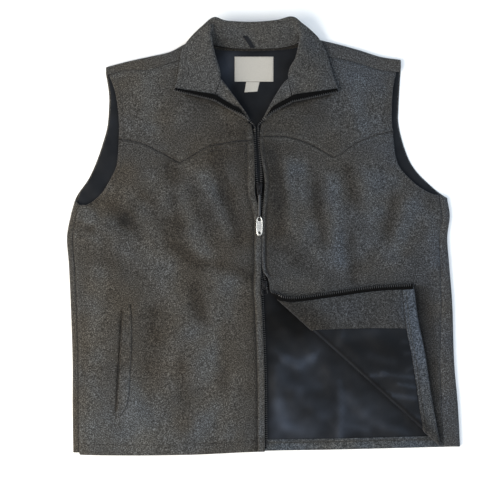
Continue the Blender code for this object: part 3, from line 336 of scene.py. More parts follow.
# Smaller creases of the fronts, beside the folds that the solids have
FRONT_CREASES = [
    Fold(-268, 96, -246, 74, 9, 1.0),
    Fold(-300, 6, -262, -8, 9, 1.1),
    Fold(-236, -20, -196, -44, 10, 0.9),
    Fold(-120, 112, -84, 76, 11, 0.9),
    Fold(-180, 96, -150, 48, 12, 0.8),
    Fold(-74, 128, -52, 96, 9, 0.9),
    Fold(-142, -168, -150, -236, 14, 1.0),
    Fold(-46, -226, -60, -318, 11, 1.0),
    Fold(-168, -262, -150, -336, 13, 0.9),
    Fold(-274, -226, -280, -322, 10, 0.8),
    Fold(-104, -12, -78, -62, 12, 0.9),
    Fold(38, 122, 46, 14, 9, 1.5),
    Fold(84, 20, 92, -58, 13, 1.0),
    Fold(146, 44, 150, -26, 12, 0.9),
    Fold(206, 92, 190, 44, 11, 0.9),
    Fold(252, 72, 228, 50, 9, 0.9),
    Fold(282, -66, 292, -160, 9, 0.8),
    Fold(290, -186, 286, -290, 9, 0.8),
    Fold(-120, 236, -136, 188, 13, 0.8),
    Fold(-212, 214, -216, 176, 12, 0.8),
    Fold(110, 220, 118, 176, 12, 0.8),
    Fold(186, 232, 182, 190, 11, 0.7),
    Fold(-160, -12, -96, -40, 13, -1.7),
    Fold(-96, -40, -24, -60, 12, -1.9),
    Fold(-149, 116, -143, 62, 11, -1.6),
    Fold(-143, 62, -130, 18, 10, -1.4),
    Fold(-76, 138, -62, 70, 12, -1.8),
    Fold(-62, 70, -40, 0, 12, -1.9),
    Fold(-252, -6, -222, 26, 10, -1.5),
    Fold(-222, 26, -196, 62, 11, -1.5),
    Fold(-294, 20, -276, 14, 7, -1.2),
    Fold(-276, 14, -262, 32, 7, -1.1),
    Fold(-112, -84, -96, -134, 12, -1.6),
    Fold(-66, -142, -60, -262, 11, -1.1),
    Fold(-176, -120, -184, -228, 13, -1.1),
    Fold(-132, -206, -120, -330, 12, -1.0),
    Fold(-232, -206, -236, -300, 12, -1.0),
    Fold(16, 132, 26, 66, 13, -1.7),
    Fold(26, 66, 24, 10, 11, -1.1),
    Fold(82, 78, 94, -6, 11, -1.6),
    Fold(132, 106, 148, 48, 11, -1.5),
    Fold(140, -6, 144, -66, 10, -1.3),
    Fold(206, 60, 196, 0, 12, -1.4),
    Fold(30, -20, 100, -60, 14, -1.0),
]

# Broad patches of painted light and shade on the fronts, darker or paler: middle, half width and height,
# tone
Shade = namedtuple("Shade", "x y across up tone")
PAINTED_LIGHT_PATCHES = [
    Shade(-166, 0, 96, 50, -0.34),
    Shade(-102, -133, 80, 50, -0.16),
    Shade(-30, 150, 62, 52, -0.30),
    Shade(-104, 217, 40, 26, -0.20),
    Shade(70, 217, 44, 26, -0.24),
    Shade(58, 52, 46, 56, -0.26),
    Shade(-240, 14, 42, 42, -0.30),
    Shade(-108, 60, 46, 44, -0.22),
    Shade(-72, 24, 28, 30, -0.20),
    Shade(-134, -120, 22, 46, -0.22),
    Shade(-70, -98, 18, 44, -0.22),
    Shade(152, 8, 54, 30, -0.20),
    Shade(-244, -296, 70, 60, 0.34),
    Shade(-210, -318, 150, 46, 0.28),
    Shade(154, 262, 70, 36, 0.36),
    Shade(-200, 264, 60, 36, 0.28),
    Shade(200, 140, 40, 70, 0.22),
    Shade(-296, -120, 34, 150, 0.14),
]

# Broad patches of painted light and shade on the lining in the same way: inside the back, and on the
# turned-back corner
LINING_PAINTED_LIGHT = [
    Shade(30, -128, 50, 44, -0.85),
    Shade(6, -220, 14, 90, -0.30),
    Shade(60, -150, 40, 24, -0.30),
    Shade(58, -216, 46, 20, 0.30),
    Shade(90, -298, 100, 34, 0.42),
    Shade(110, -190, 20, 30, -0.35),
    Shade(-26, 190, 60, 40, -0.30),
    Shade(4, 100, 16, 76, -0.70),
    Shade(-60, 268, 16, 30, 0.80),
]
FLAP_PAINTED_LIGHT = [
    Shade(130, -170, 50, 20, -0.40),
    Shade(200, -190, 56, 36, -0.45),
    Shade(215, -262, 40, 30, 0.15),
]

# Lines along the wool where the turned collar and its zip shade it
COLLAR_SHADES = [
    [(-122, 230), (-98, 226), (-80, 219.5), (-60, 210)],
    [(104, 229), (76, 224.5), (46, 216), (28, 208)],
]

# Opening of the pocket, down its left side
POCKET_SLIT = [(-227.4, -119), (-229.6, -160), (-233.4, -220), (-236.8, -278)]

# Creases of the lining inside the back, and of the turned-back corner's lining
LINING_CREASES = [
    Fold(16, -180, 36, -196, 8, 1.3),
    Fold(36, -196, 56, -205, 8, 1.8),
    Fold(56, -205, 77, -193, 7.5, 1.7),
    Fold(77, -193, 88, -182, 6.5, 1.1),
    Fold(20, -210, 19, -318, 10, 0.8),
    Fold(32, -233, 58, -243, 9, 1.0),
    Fold(58, -243, 84, -238, 8, 0.8),
    Fold(24, -262, 34, -300, 10, 1.2),
    Fold(76, -262, 92, -286, 10, 0.9),
    Fold(34, -300, 60, -310, 8, 0.9),
    Fold(64, -282, 108, -300, 9, -0.9),
    Fold(121, -232, 124, -276, 6, 1.2),
    Fold(124, -276, 122, -318, 5, 1.5),
    Fold(136, -258, 160, -282, 10, 0.9),
    Fold(132, -300, 166, -309, 5, 0.9),
    Fold(186, -300, 226, -312, 6, 0.8),
    Fold(-60, 190, -44, 120, 12, 0.7),
    Fold(14, 200, 4, 140, 10, 0.6),
]
FLAP_CREASES = [
    Fold(138, -208, 158, -224, 6, 1.5),
    Fold(158, -224, 190, -218, 5.5, 1.6),
    Fold(190, -218, 238, -224, 5, 1.3),
    Fold(118, -172, 126, -150, 7, 0.8),
    Fold(128, -160, 176, -150, 9, 0.9),
    Fold(222, -167, 239, -168, 3.6, 1.0),
    Fold(226, -186, 241, -183, 3.4, 1.1),
    Fold(228, -213, 242, -205, 3.4, 1.1),
    Fold(214, -234, 246, -240, 4.0, 1.2),
    Fold(190, -250, 240, -257, 5, 1.2),
    Fold(200, -276, 250, -288, 4.5, 1.0),
    Fold(170, -190, 206, -200, 7, 0.9),
]

# Mesh fineness, rounding of edges and small relief
FINE_STEP = 4.0
RIM_STEPS = 4
CLOTH_EDGE = 0.9
LOFT_EDGE = 1.1
SEAM_DIP = 1.0
SEAM_WIDTH = 1.4
BAND_WIDTHS = {"left": 12.0, "right": 6.0}
BAND_RAISE = 1.3
GROOVE_DEPTH = 1.1
GROOVE_WIDTH = 1.3

# How much further the teeth stand out and up from under the spread collar, above this y
COLLAR_FROM = 192.0
TEETH_REACH = 2.4
TEETH_LIFT = 1.4
TAPE_LIFT = DOUBLE_WOOL / 2 + 2 * SEAM_GAP + TAPE / 2

# Depths of the hems, the stitches inside the turned-back hem, and where its zip tape starts
BACK_HEM = 18.0
FRONT_HEM = 17.0
HEM_STITCHES = 5.2
TAPE_START = 0.6

# Yokes' edges under the collar
LEFT_NECK = [
    (-98, 291), (-92, 278), (-85, 266), (-74, 254), (-65, 240), (-49, 216.5), (-34, 196), (-24.5, 182),
]
RIGHT_NECK = [(68, 293), (63, 279), (57, 268), (45, 254), (34, 240), (20, 217), (8, 196), (0.5, 184)]

# Distances past the crease at which the turned-back cloth bends
FINE_BENDS = [math.pi * CREASE_RADIUS * n / 8 for n in range(9)]
FINE_BENDS += [14.0, 20.0, 28.0, 40.0, 52.0, 64.0]
FLAP_FOLDS_START = 20.0

# Sewing: pitch, half of a stitch's share of it, thread, and the share, height and width of its arch
STITCH = 3.2
STITCH_HALF = 0.37
THREAD = 0.7
THREAD_ARCH = [(0.0, -0.25, 0.5), (0.2, 0.16, 1.0), (0.8, 0.16, 1.0), (1.0, -0.25, 0.5)]

# Zip teeth and the section of the tape: share of its width and height
TOOTH_PITCH = 3.4
TOOTH_IN = 1.9
TOOTH = [
    (-1.7, -0.6), (0.0, -0.6), (0.5, -1.0), (1.4, -1.0), (1.9, -0.5),
    (1.9, 0.5), (1.4, 1.0), (0.5, 1.0), (0.0, 0.6), (-1.7, 0.6),
]
TOOTH_LEVELS = [(-1.15, 0.78), (-0.8, 1.0), (0.8, 1.0), (1.15, 0.78)]
TAPE_FROM_TEETH = 2.0
TAPE_PROFILE = [
    (0.0, 0.35), (0.12, 0.45), (0.2, 0.3), (0.9, 0.3), (1.0, 0.15),
    (1.0, -0.15), (0.9, -0.3), (0.2, -0.3), (0.12, -0.45), (0.0, -0.35),
]

# Materials of the looks, by name
LOOKS = {}

# Camera and floor
LENS = 200.0
SENSOR = 36.0
VIEW_WIDTH = 800.0
VIEW_CENTRE = (-22.4, -20.8)
FLOOR_DROP = -0.0004
FLOOR_HALF = 6.0


def points3(x, y, z):
    """Rows of x, y, z from numbers or arrays."""
    return np.stack([np.asarray(v, float) for v in np.broadcast_arrays(x, y, z)], axis=-1)


def smoothstep(value):
    t = np.clip(value, 0.0, 1.0)
    return t * t * (3 - 2 * t)


def along(rows, key, column, where):
    """Values of a table's column at places, on a smooth curve through its rows."""
    rows = sorted(rows, key=lambda row: getattr(row, key))
    keys = np.array([getattr(row, key) for row in rows], float)
    values = np.array([getattr(row, column) for row in rows], float)
    here = np.arange(len(keys))
    low, high = np.maximum(here - 1, 0), np.minimum(here + 1, len(keys) - 1)
    slopes = (values[high] - values[low]) / (keys[high] - keys[low])
    where = np.clip(np.asarray(where, float), keys[0], keys[-1])
    i = np.clip(np.searchsorted(keys, where, side="right") - 1, 0, len(keys) - 2)
    span = keys[i + 1] - keys[i]
    t = (where - keys[i]) / span
    return (
        values[i] * (1 + 2 * t) * (1 - t) ** 2
        + slopes[i] * span * t * (1 - t) ** 2
        + values[i + 1] * t * t * (3 - 2 * t)
        + slopes[i + 1] * span * t * t * (t - 1)
    )


def bell(value, width):
    """1 at zero, falling away smoothly to both sides over a width."""
    return np.exp(-(value / width) ** 2)


def unit(rows):
    """Rows of numbers scaled to length one."""
    return rows / np.maximum(np.linalg.norm(rows, axis=-1), 1e-9)[..., None]


def spline(p0, p1, p2, p3, t):
    """Point a share t of the way from p1 to p2, on a smooth curve through all four."""
    return 0.5 * (2 * p1 + (p2 - p0) * t + (2 * p0 - 5 * p1 + 4 * p2 - p3) * t * t
                  + (3 * p1 - p0 - 3 * p2 + p3) * t ** 3)


def smooth_rows(rows, middles, step):
    """Rows on a smooth curve through the given ones, about a step apart at their middles."""
    ends = np.vstack([2 * rows[0] - rows[1], rows, 2 * rows[-1] - rows[-2]])
    result = []
    for i, length in enumerate(np.linalg.norm(np.diff(middles, axis=0), axis=1)):
        count = max(1, round(length / step))
        t = (np.arange(count) / count)[:, None]
        result.append(spline(*ends[i:i + 4], t))
    return np.vstack(result + [rows[-1:]])


def curve(points, step=FINE_STEP):
    """Smooth curve through points, as an array of points about a step apart."""
    points = np.array([tuple(p) for p in points], float)
    return smooth_rows(points, points, step)


def spread(low, high, step=FINE_STEP):
    """Evenly spaced numbers from low to high, about a step apart."""
    return np.linspace(low, high, max(1, round(abs(high - low) / step)) + 1)


def line_of(xs, ys):
    return np.column_stack(np.broadcast_arrays(xs, ys)).astype(float)


def ridge(x, y, fold):
    along_x, along_y = fold.x2 - fold.x1, fold.y2 - fold.y1
    t = ((x - fold.x1) * along_x + (y - fold.y1) * along_y) / (along_x ** 2 + along_y ** 2)
    t = np.clip(t, 0.0, 1.0)
    away = np.hypot(x - fold.x1 - t * along_x, y - fold.y1 - t * along_y)
    return fold.height * bell(away, fold.width)


def folds_at(x, y, folds):
    return sum(ridge(x, y, fold) for fold in folds)


def swell(x, y, size, seed):
    """Soft uneven swell between about -1 and 1, from waves in a few directions."""
    total = 0.0
    for n in range(5):
        angle = seed * 1.7 + n * 2.399
        wave = 2 * math.pi / (size * (0.7 + 0.22 * n))
        bend = 0.9 * np.sin((x * math.sin(angle) - y * math.cos(angle)) * wave * 0.45 + seed + n)
        total = total + np.sin((x * math.cos(angle) + y * math.sin(angle)) * wave + bend + seed * 2.3 * n)
    return total / 3.2


def neck_rise(x, y):
    """How far the cloth beside the roll of the lapels and collar is lifted."""
    is_left = x < along(ROLLS, "y", "left", y) + 20
    best = np.full(np.shape(x), 1e9)
    rise = np.zeros(np.shape(x))
    for roll_y in np.linspace(183, 303, 61):
        roll_x = np.where(is_left, along(ROLLS, "y", "left", roll_y), along(ROLLS, "y", "right", roll_y))
        away = np.hypot(x - roll_x, y - roll_y)
        near = away < best
        best = np.where(near, away, best)
        rise = np.where(near, along(ROLLS, "y", "rise", roll_y), rise)
    fade = 1 - smoothstep((y - RISE_ENDS[0]) / (RISE_ENDS[1] - RISE_ENDS[0]))
    return rise * fade * (1 - smoothstep(best / ROLL_REACH))


def front_height(x, y):
    """Height of the middle of the fronts, with their folds and a soft unevenness."""
    uneven = 0.35 * swell(x, y, 92, 1.0) + 0.16 * swell(x, y, 37, 4.0)
    rise = np.where(y > 160, neck_rise(x, y), 0.0)
    return FRONT_Z + folds_at(x, y, FRONT_FOLDS) + folds_at(x, y, FRONT_CREASES) + uneven + rise


def place_front(x, y, lift):
    return points3(x, y, front_height(x, y) + lift)


def side_fold(y, side):
    """Where the back starts to roll up at the side."""
    inset = WOOL / 2 + ROLL_RADIUS
    return along(SIDES, "y", side, y) + (inset if side == "left" else -inset)


def side_seam(y, side):
    if side == "left":
        return along(SIDES, "y", "left", y) + LEFT_WRAP
    part = smoothstep((y + 346) / 406)
    return along(SIDES, "y", "right", y) - RIGHT_WRAP_HEM + (RIGHT_WRAP_HEM - RIGHT_WRAP_ARMPIT) * part


def shoulder(x, column):
    left = along(LEFT_SHOULDER, "x", column, x)
    return np.where(np.asarray(x) < -16, left, along(RIGHT_SHOULDER, "x", column, x))


def shoulder_fold(x):
    return shoulder(x, "top") - WOOL / 2 - ROLL_RADIUS


def rolled(past, lift):
    """Distance out and height of points that far past the start of a roll of the back."""
    turn = past / ROLL_RADIUS
    reach = ROLL_RADIUS - lift
    on_roll = turn < math.pi
    out = np.where(on_roll, reach * np.sin(turn), -(past - math.pi * ROLL_RADIUS))
    height = np.where(on_roll, BACK_Z + ROLL_RADIUS - reach * np.cos(turn), FRONT_Z - lift)
    return out, height


def place_back(x, y, lift):
    """The back: flat, and rolled over to the front at the sides and shoulders."""
    x, y, lift = (np.asarray(v, float).copy() for v in np.broadcast_arrays(x, y, lift))
    px, py, height, out = x.copy(), y.copy(), BACK_Z + lift, np.ones(x.shape)
    left, right, top = side_fold(y, "left"), side_fold(y, "right"), shoulder_fold(x)
    on_left = (y < 64) & (x < left)
    on_right = (y < 67) & (x > right)
    on_top = ~on_left & ~on_right & ((x < -95.5) | (x > 65.5)) & (y > top)
    for mask, past in ((on_left, left - x), (on_right, x - right), (on_top, y - top)):
        far, up = rolled(past, lift)
        out = np.where(mask, far, out)
        height = np.where(mask, up, height)
    px = np.where(on_left, left - out, np.where(on_right, right + out, px))
    py = np.where(on_top, top + out, py)
    over = (out < 0) * smoothstep(-out / 12)
    return points3(px, py, height + (front_height(px, py) - FRONT_Z) * over)


def lining_height(x, y):
    return LINING_Z + folds_at(x, y, LINING_FOLDS) + folds_at(x, y, LINING_CREASES)


def place_lining(x, y, lift):
    return points3(x, y, lining_height(x, y) + lift)


def place_hem(x, y, lift):
    return points3(x, y, HEM_Z + lift)


def place_label(x, y, lift):
    return points3(x, y, lining_height(x, y) + LABEL_Z - LINING_Z + lift)


def past_crease(x, y):
    return (x - CREASE_START[0]) * CREASE_OUT[0] + (y - CREASE_START[1]) * CREASE_OUT[1]


def place_right_front(x, y, lift):
    """The right front, flat or turned back over the crease; lift is towards its outer side."""
    x, y, lift = (np.asarray(v, float) for v in np.broadcast_arrays(x, y, lift))
    past = past_crease(x, y)
    line_x, line_y = x - CREASE_OUT[0] * past, y - CREASE_OUT[1] * past
    turn = past / CREASE_RADIUS
    on_roll = turn < math.pi
    reach = CREASE_RADIUS - lift
    back = np.maximum(past - math.pi * CREASE_RADIUS, 0.0)
    shift = np.where(on_roll, reach * np.sin(turn), -back)
    spot_x, spot_y = line_x + CREASE_OUT[0] * shift, line_y + CREASE_OUT[1] * shift
    rise = 2 * CREASE_RADIUS - FLAP_SETTLE * smoothstep(back / SETTLE_LENGTH)
    over_roll = front_height(line_x, line_y) + CREASE_RADIUS - reach * np.cos(turn)
    turned = front_height(spot_x, spot_y) + rise - lift
    flat = past <= 0
    px, py = np.where(flat, x, spot_x), np.where(flat, y, spot_y)
    return points3(px, py, np.where(flat, front_height(x, y) + lift, np.where(on_roll, over_roll, turned)))


def place_flap_lining(x, y, lift):
    """The lining of the turned-back corner, which has looser folds than the wool under it."""
    spot = place_right_front(x, y, lift)
    back = past_crease(np.asarray(x, float), np.asarray(y, float)) - math.pi * CREASE_RADIUS
    folds = folds_at(spot[..., 0], spot[..., 1], FLAP_FOLDS + FLAP_CREASES)
    spot[..., 2] += folds * smoothstep(back / FLAP_FOLDS_START)
    return spot


def inside(points, outline):
    """Which points are inside a closed outline."""
    x, y = points[:, 0], points[:, 1]
    found = np.zeros(len(points), bool)
    for (ax, ay), (bx, by) in zip(outline, np.roll(outline, -1, axis=0)):
        if ay != by:
            found ^= ((ay > y) != (by > y)) & (x < ax + (y - ay) / (by - ay) * (bx - ax))
    return found


def away_from(points, lines):
    """Distance from each point to the nearest of several lines of points."""
    best = np.full(len(points), 1e9)
    for line in lines:
        for a, b in zip(line[:-1], line[1:]):
            run = b - a
            t = np.clip(((points - a) @ run) / max(run @ run, 1e-9), 0.0, 1.0)
            best = np.minimum(best, np.linalg.norm(points - a - t[:, None] * run, axis=1))
    return best


def closed(outline):
    return np.vstack([outline, outline[:1]])


def inset(outline, distance):
    """Outline moved inwards."""
    before, after = np.roll(outline, 1, axis=0), np.roll(outline, -1, axis=0)
    both = unit(outline - before) + unit(after - outline)
    both /= np.maximum(np.linalg.norm(both, axis=1), 0.3)[:, None]
    area = np.sum(outline[:, 0] * after[:, 1] - after[:, 0] * outline[:, 1])
    normal = np.column_stack([-both[:, 1], both[:, 0]]) * (1 if area > 0 else -1)
    return outline + normal * distance


def cut_pattern(outline, cell, lines=()):
    """Flat cut piece of cloth in triangles: outline, an even grid inside, and lines to bend at."""
    rows = [closed(outline)] + [np.asarray(line, float) for line in lines]
    points, edges = [outline], [(n, (n + 1) % len(outline)) for n in range(len(outline))]
    count = len(outline)
    for line in rows[1:]:
        points.append(line)
        edges += [(n, n + 1) for n in range(count, count + len(line) - 1)]
        count += len(line)
    low, high = outline.min(0), outline.max(0)
    ys = np.arange(math.ceil(low[1] / (0.87 * cell)), math.floor(high[1] / (0.87 * cell)) + 1)
    xs = np.arange(math.ceil(low[0] / cell), math.floor(high[0] / cell) + 1)
    grid_x, grid_y = np.meshgrid(xs.astype(float), ys.astype(float))
    grid = np.column_stack([((grid_x + 0.5 * (grid_y % 2)) * cell).ravel(), (grid_y * 0.87 * cell).ravel()])
    grid = grid[inside(grid, outline)]
    grid = grid[away_from(grid, rows) > 0.45 * cell]
    points.append(grid)
    flat = [Vector(p) for p in np.vstack(points)]
    made = geometry.delaunay_2d_cdt(flat, edges, [], 0, 1e-4)
    verts = np.array([tuple(v) for v in made[0]])
    faces = np.array(made[2])
    middles = verts[faces].mean(axis=1)
    faces = faces[inside(middles, outline)]
    used, faces = np.unique(faces, return_inverse=True)
    return verts[used], faces.reshape(-1, 3)


def rim_of(faces):
    """Edges used by one face only, in the direction that the face has them."""
    edges = np.vstack([faces[:, [0, 1]], faces[:, [1, 2]], faces[:, [2, 0]]])
    known = {tuple(e) for e in edges.tolist()}
    return np.array([e for e in edges.tolist() if (e[1], e[0]) not in known])


def mesh_object(name, points, faces, look, sharp=None, tone=None):
    """Closed mesh that faces outwards, from points in millimetres; tone is a number per point, mostly
    painted light and shade, for its look.
    """
    mesh = bpy.data.meshes.new(name)
    mesh.from_pydata((np.asarray(points) * MM).tolist(), [], faces)
    mesh.validate()
    if tone is not None:
        layer = mesh.attributes.new("tone", "FLOAT", "POINT")
        layer.data.foreach_set("value", np.asarray(tone, np.float32))
    mesh.shade_smooth()
    if sharp:
        mesh.set_sharp_from_angle(angle=math.radians(sharp))
    made = bpy.data.objects.new(name, mesh)
    bpy.context.scene.collection.objects.link(made)
    mesh.materials.append(LOOKS[look])
    bm = bmesh.new()
    bm.from_mesh(mesh)
    bmesh.ops.recalc_face_normals(bm, faces=bm.faces[:])
    if bm.calc_volume(signed=True) < 0:
        bmesh.ops.reverse_faces(bm, faces=bm.faces[:])
    bm.to_mesh(mesh)
    bm.free()
    return made


def dress(made, body="garment", node=None):
    """Puts a piece on its body, in place of a node of the frame if one is given."""
    if node:
        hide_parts(node)
    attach(made, body)


def ring_faces(count, ring, is_closed=False):
    """Faces of a tube of that many rings of points, capped or joined end to end."""
    faces = []
    for i in range(count if is_closed else count - 1):
        first, second = i * ring, (i + 1) % count * ring
        for n in range(ring):
            after = (n + 1) % ring
            faces.append([first + n, first + after, second + after, second + n])
    if not is_closed:
        faces += [list(range(ring))[::-1], [(count - 1) * ring + n for n in range(ring)]]
    return faces


def repeated(faces, starts):
    """A shape's faces once for each of its copies, from the number of each copy's first point."""
    return [[k + start for k in face] for start in starts for face in faces]


def cloth(name, outline, place, thickness, look, lift=0.0, cell=CELL, lines=(), relief=None, tone=None,
          under=False):
    """Closed wall of cloth with rounded edges, on a placed pattern; relief raises the face that shows."""
    radius = min(thickness / 2, CLOTH_EDGE)
    outline = inset(np.asarray(outline, float), radius)
    verts, faces = cut_pattern(outline, cell, lines)
    count = len(verts)
    rim = rim_of(faces)
    run = verts[rim[:, 1]] - verts[rim[:, 0]]
    normals = np.zeros((count, 2))
    for side in (0, 1):
        np.add.at(normals, rim[:, side], np.column_stack([run[:, 1], -run[:, 0]]))
    edge_points = np.unique(rim)
    outwards = unit(normals[edge_points])
    raised = relief(verts) if relief else np.zeros(count)
    upper_rise, lower_rise = (0 * raised, raised) if under else (raised, 0 * raised)
    rows = [place(*verts.T, lift + thickness / 2 + upper_rise)]
    for n in range(1, RIM_STEPS):
        angle = math.pi * n / RIM_STEPS
        spots = verts[edge_points] + outwards * (radius * math.sin(angle))
        share = 0.5 + 0.5 * math.cos(angle)
        high = upper_rise[edge_points] * share - lower_rise[edge_points] * (1 - share)
        rows.append(place(*spots.T, lift + thickness / 2 * math.cos(angle) + high))
    rows.append(place(*verts.T, lift - thickness / 2 - lower_rise))
    index = np.full(count, -1)
    index[edge_points] = np.arange(len(edge_points))
    starts = [0, count] + [count + n * len(edge_points) for n in range(1, RIM_STEPS)]
    made_faces = faces.tolist() + (faces[:, ::-1] + starts[-1]).tolist()
    for n in range(RIM_STEPS):
        upper = rim if n == 0 else index[rim] + starts[n]
        lower = rim + starts[-1] if n == RIM_STEPS - 1 else index[rim] + starts[n + 1]
        made_faces += np.column_stack([upper[:, 1], upper[:, 0], lower[:, 0], lower[:, 1]]).tolist()
    tones = None
    if tone is not None:
        values = tone(verts)
        tones = np.concatenate([values] + [values[edge_points]] * (RIM_STEPS - 1) + [values])
    made = mesh_object(name, np.vstack(rows), made_faces, look, tone=tones)
    dress(made, node=name)


def loft_params(sections, s):
    """Section numbers at places s along a list of sections, on a smooth curve through them."""
    rows = np.array([tuple(section) for section in sections], float)
    s = np.asarray(s, float)
    i = np.clip(s.astype(int), 0, len(rows) - 2)
    before, after = rows[np.maximum(i - 1, 0)], rows[np.minimum(i + 2, len(rows) - 1)]
    return spline(before, rows[i], rows[i + 1], after, (s - i)[..., None])


def section_points(sections, s, w):
    """Points of the middle of a lofted piece: w is 0 at its sewn side and 1 at its free edge."""
    s, w = np.broadcast_arrays(np.asarray(s, float), np.asarray(w, float))
    rows = loft_params(sections, s)
    base, crest, edge = rows[..., 0:3], rows[..., 3:6], rows[..., 6:9]
    rise = np.linalg.norm(crest - base, axis=-1)
    share = rise / (rise + np.linalg.norm(edge - crest, axis=-1))
    u = np.where(w < CREST_AT, share * w / CREST_AT, share + (1 - share) * (w - CREST_AT) / (1 - CREST_AT))
    corner = CREST_ROUNDING * np.minimum(share, 1 - share)
    t = np.clip((u - share + corner) / (2 * corner), 0, 1)[..., None]
    share, corner, u = share[..., None], corner[..., None], u[..., None]
    start = base + (crest - base) * (share - corner) / share
    end = crest + (edge - crest) * corner / (1 - share)
    bent = (1 - t) ** 2 * start + 2 * t * (1 - t) * crest + t * t * end
    before = base + (crest - base) * u / share
    after = crest + (edge - crest) * (u - share) / (1 - share)
    return np.where(u < share - corner, before, np.where(u > share + corner, after, bent))


def loft_points(sections, s, w, lift=0.0):
    """Points of a lofted piece, moved out by a lift from its middle."""
    s, w, lift = np.broadcast_arrays(*(np.asarray(v, float) for v in (s, w, lift)))
    last = len(sections) - 1
    low_s, high_s = np.maximum(s - 0.02, 0), np.minimum(s + 0.02, last)
    low_w, high_w = np.maximum(w - 0.012, 0), np.minimum(w + 0.012, 1)
    across = section_points(sections, s, high_w) - section_points(sections, s, low_w)
    forward = section_points(sections, high_s, w) - section_points(sections, low_s, w)
    return section_points(sections, s, w) + unit(np.cross(forward, across)) * lift[..., None]


def lofted(name, sections, rows_between, columns, side):
    """Closed wall of doubled wool through a list of sections; side is 1 or -1 for its top."""
    last = len(sections) - 1
    count = last * rows_between + 1
    first_row = section_points(sections, [0.0, 0.5], 0.9)
    s_end = LOFT_EDGE / np.linalg.norm(first_row[1] - first_row[0]) * 0.2
    w_end = LOFT_EDGE / 70 * (1 - CREST_AT)
    s = np.linspace(s_end, last - s_end, count)
    w = np.linspace(w_end, 1 - w_end, columns + 1)
    grid_s, grid_w = np.meshgrid(s, w, indexing="ij")
    full_s, full_w = np.meshgrid(np.linspace(0, last, count), np.linspace(0, 1, columns + 1), indexing="ij")
    middle = section_points(sections, grid_s, grid_w)
    uneven = 0.25 * swell(middle[..., 0], middle[..., 1] + middle[..., 2], 46, 2.0)
    top = loft_points(sections, grid_s, grid_w, side * (DOUBLE_WOOL / 2 + uneven)).reshape(-1, 3)
    low = loft_points(sections, grid_s, grid_w, side * (uneven - DOUBLE_WOOL / 2)).reshape(-1, 3)
    ends = section_points(sections, full_s, full_w)
    rim = [(0, j) for j in range(columns)] + [(i, columns) for i in range(count - 1)]
    rim += [(count - 1, j) for j in range(columns, 0, -1)] + [(i, 0) for i in range(count - 1, 0, -1)]
    flat = np.array([i * (columns + 1) + j for i, j in rim])
    centre = (top[flat] + low[flat]) / 2
    half = (top[flat] - low[flat]) / 2
    out = ends.reshape(-1, 3)[flat] - centre
    out -= half * (np.sum(out * half, axis=1) / np.sum(half * half, axis=1))[:, None]
    out *= np.minimum(1.0, LOFT_EDGE / np.maximum(np.linalg.norm(out, axis=1), 1e-9))[:, None]
    rows = [top]
    for n in range(1, RIM_STEPS):
        angle = math.pi * n / RIM_STEPS
        rows.append(centre + half * math.cos(angle) + out * math.sin(angle))
    rows.append(low)
    faces = []
    size, around = len(top), np.arange(len(rim))
    bottom = size + (RIM_STEPS - 1) * len(rim)
    for i in range(count - 1):
        for j in range(columns):
            a = i * (columns + 1) + j
            quad = [a, a + 1, a + columns + 2, a + columns + 1]
            faces.append(quad)
            faces.append([q + bottom for q in reversed(quad)])
    after = np.roll(around, -1)
    for n in range(RIM_STEPS):
        a = flat if n == 0 else size + (n - 1) * len(rim) + around
        b = flat + bottom if n == RIM_STEPS - 1 else size + n * len(rim) + around
        faces += np.column_stack([a[after], a, b, b[after]]).tolist()
    dress(mesh_object(name, np.vstack(rows), faces, "collar_wool"), node=name)


def offset_line(line, distance):
    """A line of points moved sideways, to its left for a positive distance."""
    run = unit(np.gradient(np.asarray(line, float), axis=0))
    return line + np.column_stack([-run[:, 1], run[:, 0]]) * distance


def lengths_along(line):
    """Length along a line of points, up to each of them."""
    return np.concatenate([[0], np.cumsum(np.linalg.norm(np.diff(line, axis=0), axis=1))])


def at_lengths(line, lengths, places):
    return np.column_stack([np.interp(places, lengths, column) for column in line.T])


def resampled(line, step):
    """Points a step apart along a line of any dimension, and the direction at each."""
    line = np.asarray(line, float)
    lengths = lengths_along(line)
    count = max(2, int(lengths[-1] / step) + 1)
    spots = at_lengths(line, lengths, np.linspace(0, lengths[-1], count))
    return spots, unit(np.gradient(spots, axis=0))


class Threads:
    """Collects sewn stitches, each a small arched thread, into one mesh."""

    def __init__(self):
        self.points = []
        self.faces = []
        self.count = 0

    def add(self, ends_a, ends_b, normals):
        """Stitches from each point a to its point b, raised along the normals."""
        run = ends_b - ends_a
        across = unit(np.cross(normals, run))
        rings = []
        for share, high, wide in THREAD_ARCH:
            middle = ends_a + run * share + normals * high
            for side, up in ((-1, 0), (0, 1), (1, 0), (0, -1)):
                rings.append(middle + (across * side + normals * up) * THREAD * wide / 2)
        block = np.stack(rings, axis=1).reshape(-1, 3)
        starts = range(self.count, self.count + len(block), len(rings))
        self.faces += repeated(ring_faces(len(THREAD_ARCH), 4), starts)
        self.points.append(block)
        self.count += len(block)

    def on_cloth(self, line, place, lift, pitch=STITCH, side=1):
        """A row of stitches along a line of the pattern, on the cloth's upper face or, for -1, its lower."""
        spots, run = resampled(line, pitch)
        middles = (spots[1:] + spots[:-1]) / 2
        half = run[:-1] * pitch * STITCH_HALF
        normals = side * (place(*middles.T, lift + 0.5) - place(*middles.T, lift - 0.5))
        self.add(place(*(middles - half).T, lift), place(*(middles + half).T, lift), unit(normals))

    def on_loft(self, sections, ends, w, lift):
        """A row of stitches along a lofted piece, between two places along it."""
        s = np.linspace(*ends, 200)
        line, above = loft_points(sections, s, w, lift), loft_points(sections, s, w, lift * 1.2)
        both = resampled(np.hstack([line, above - line]), STITCH)[0]
        spots, normals = both[:, :3], unit(both[:, 3:])
        half = unit(np.gradient(spots, axis=0))[:-1] * STITCH * STITCH_HALF
        middles = (spots[1:] + spots[:-1]) / 2
        self.add(middles - half, middles + half, normals[:-1])

    def build(self, name, look):
        dress(mesh_object(name, np.vstack(self.points), self.faces, look))


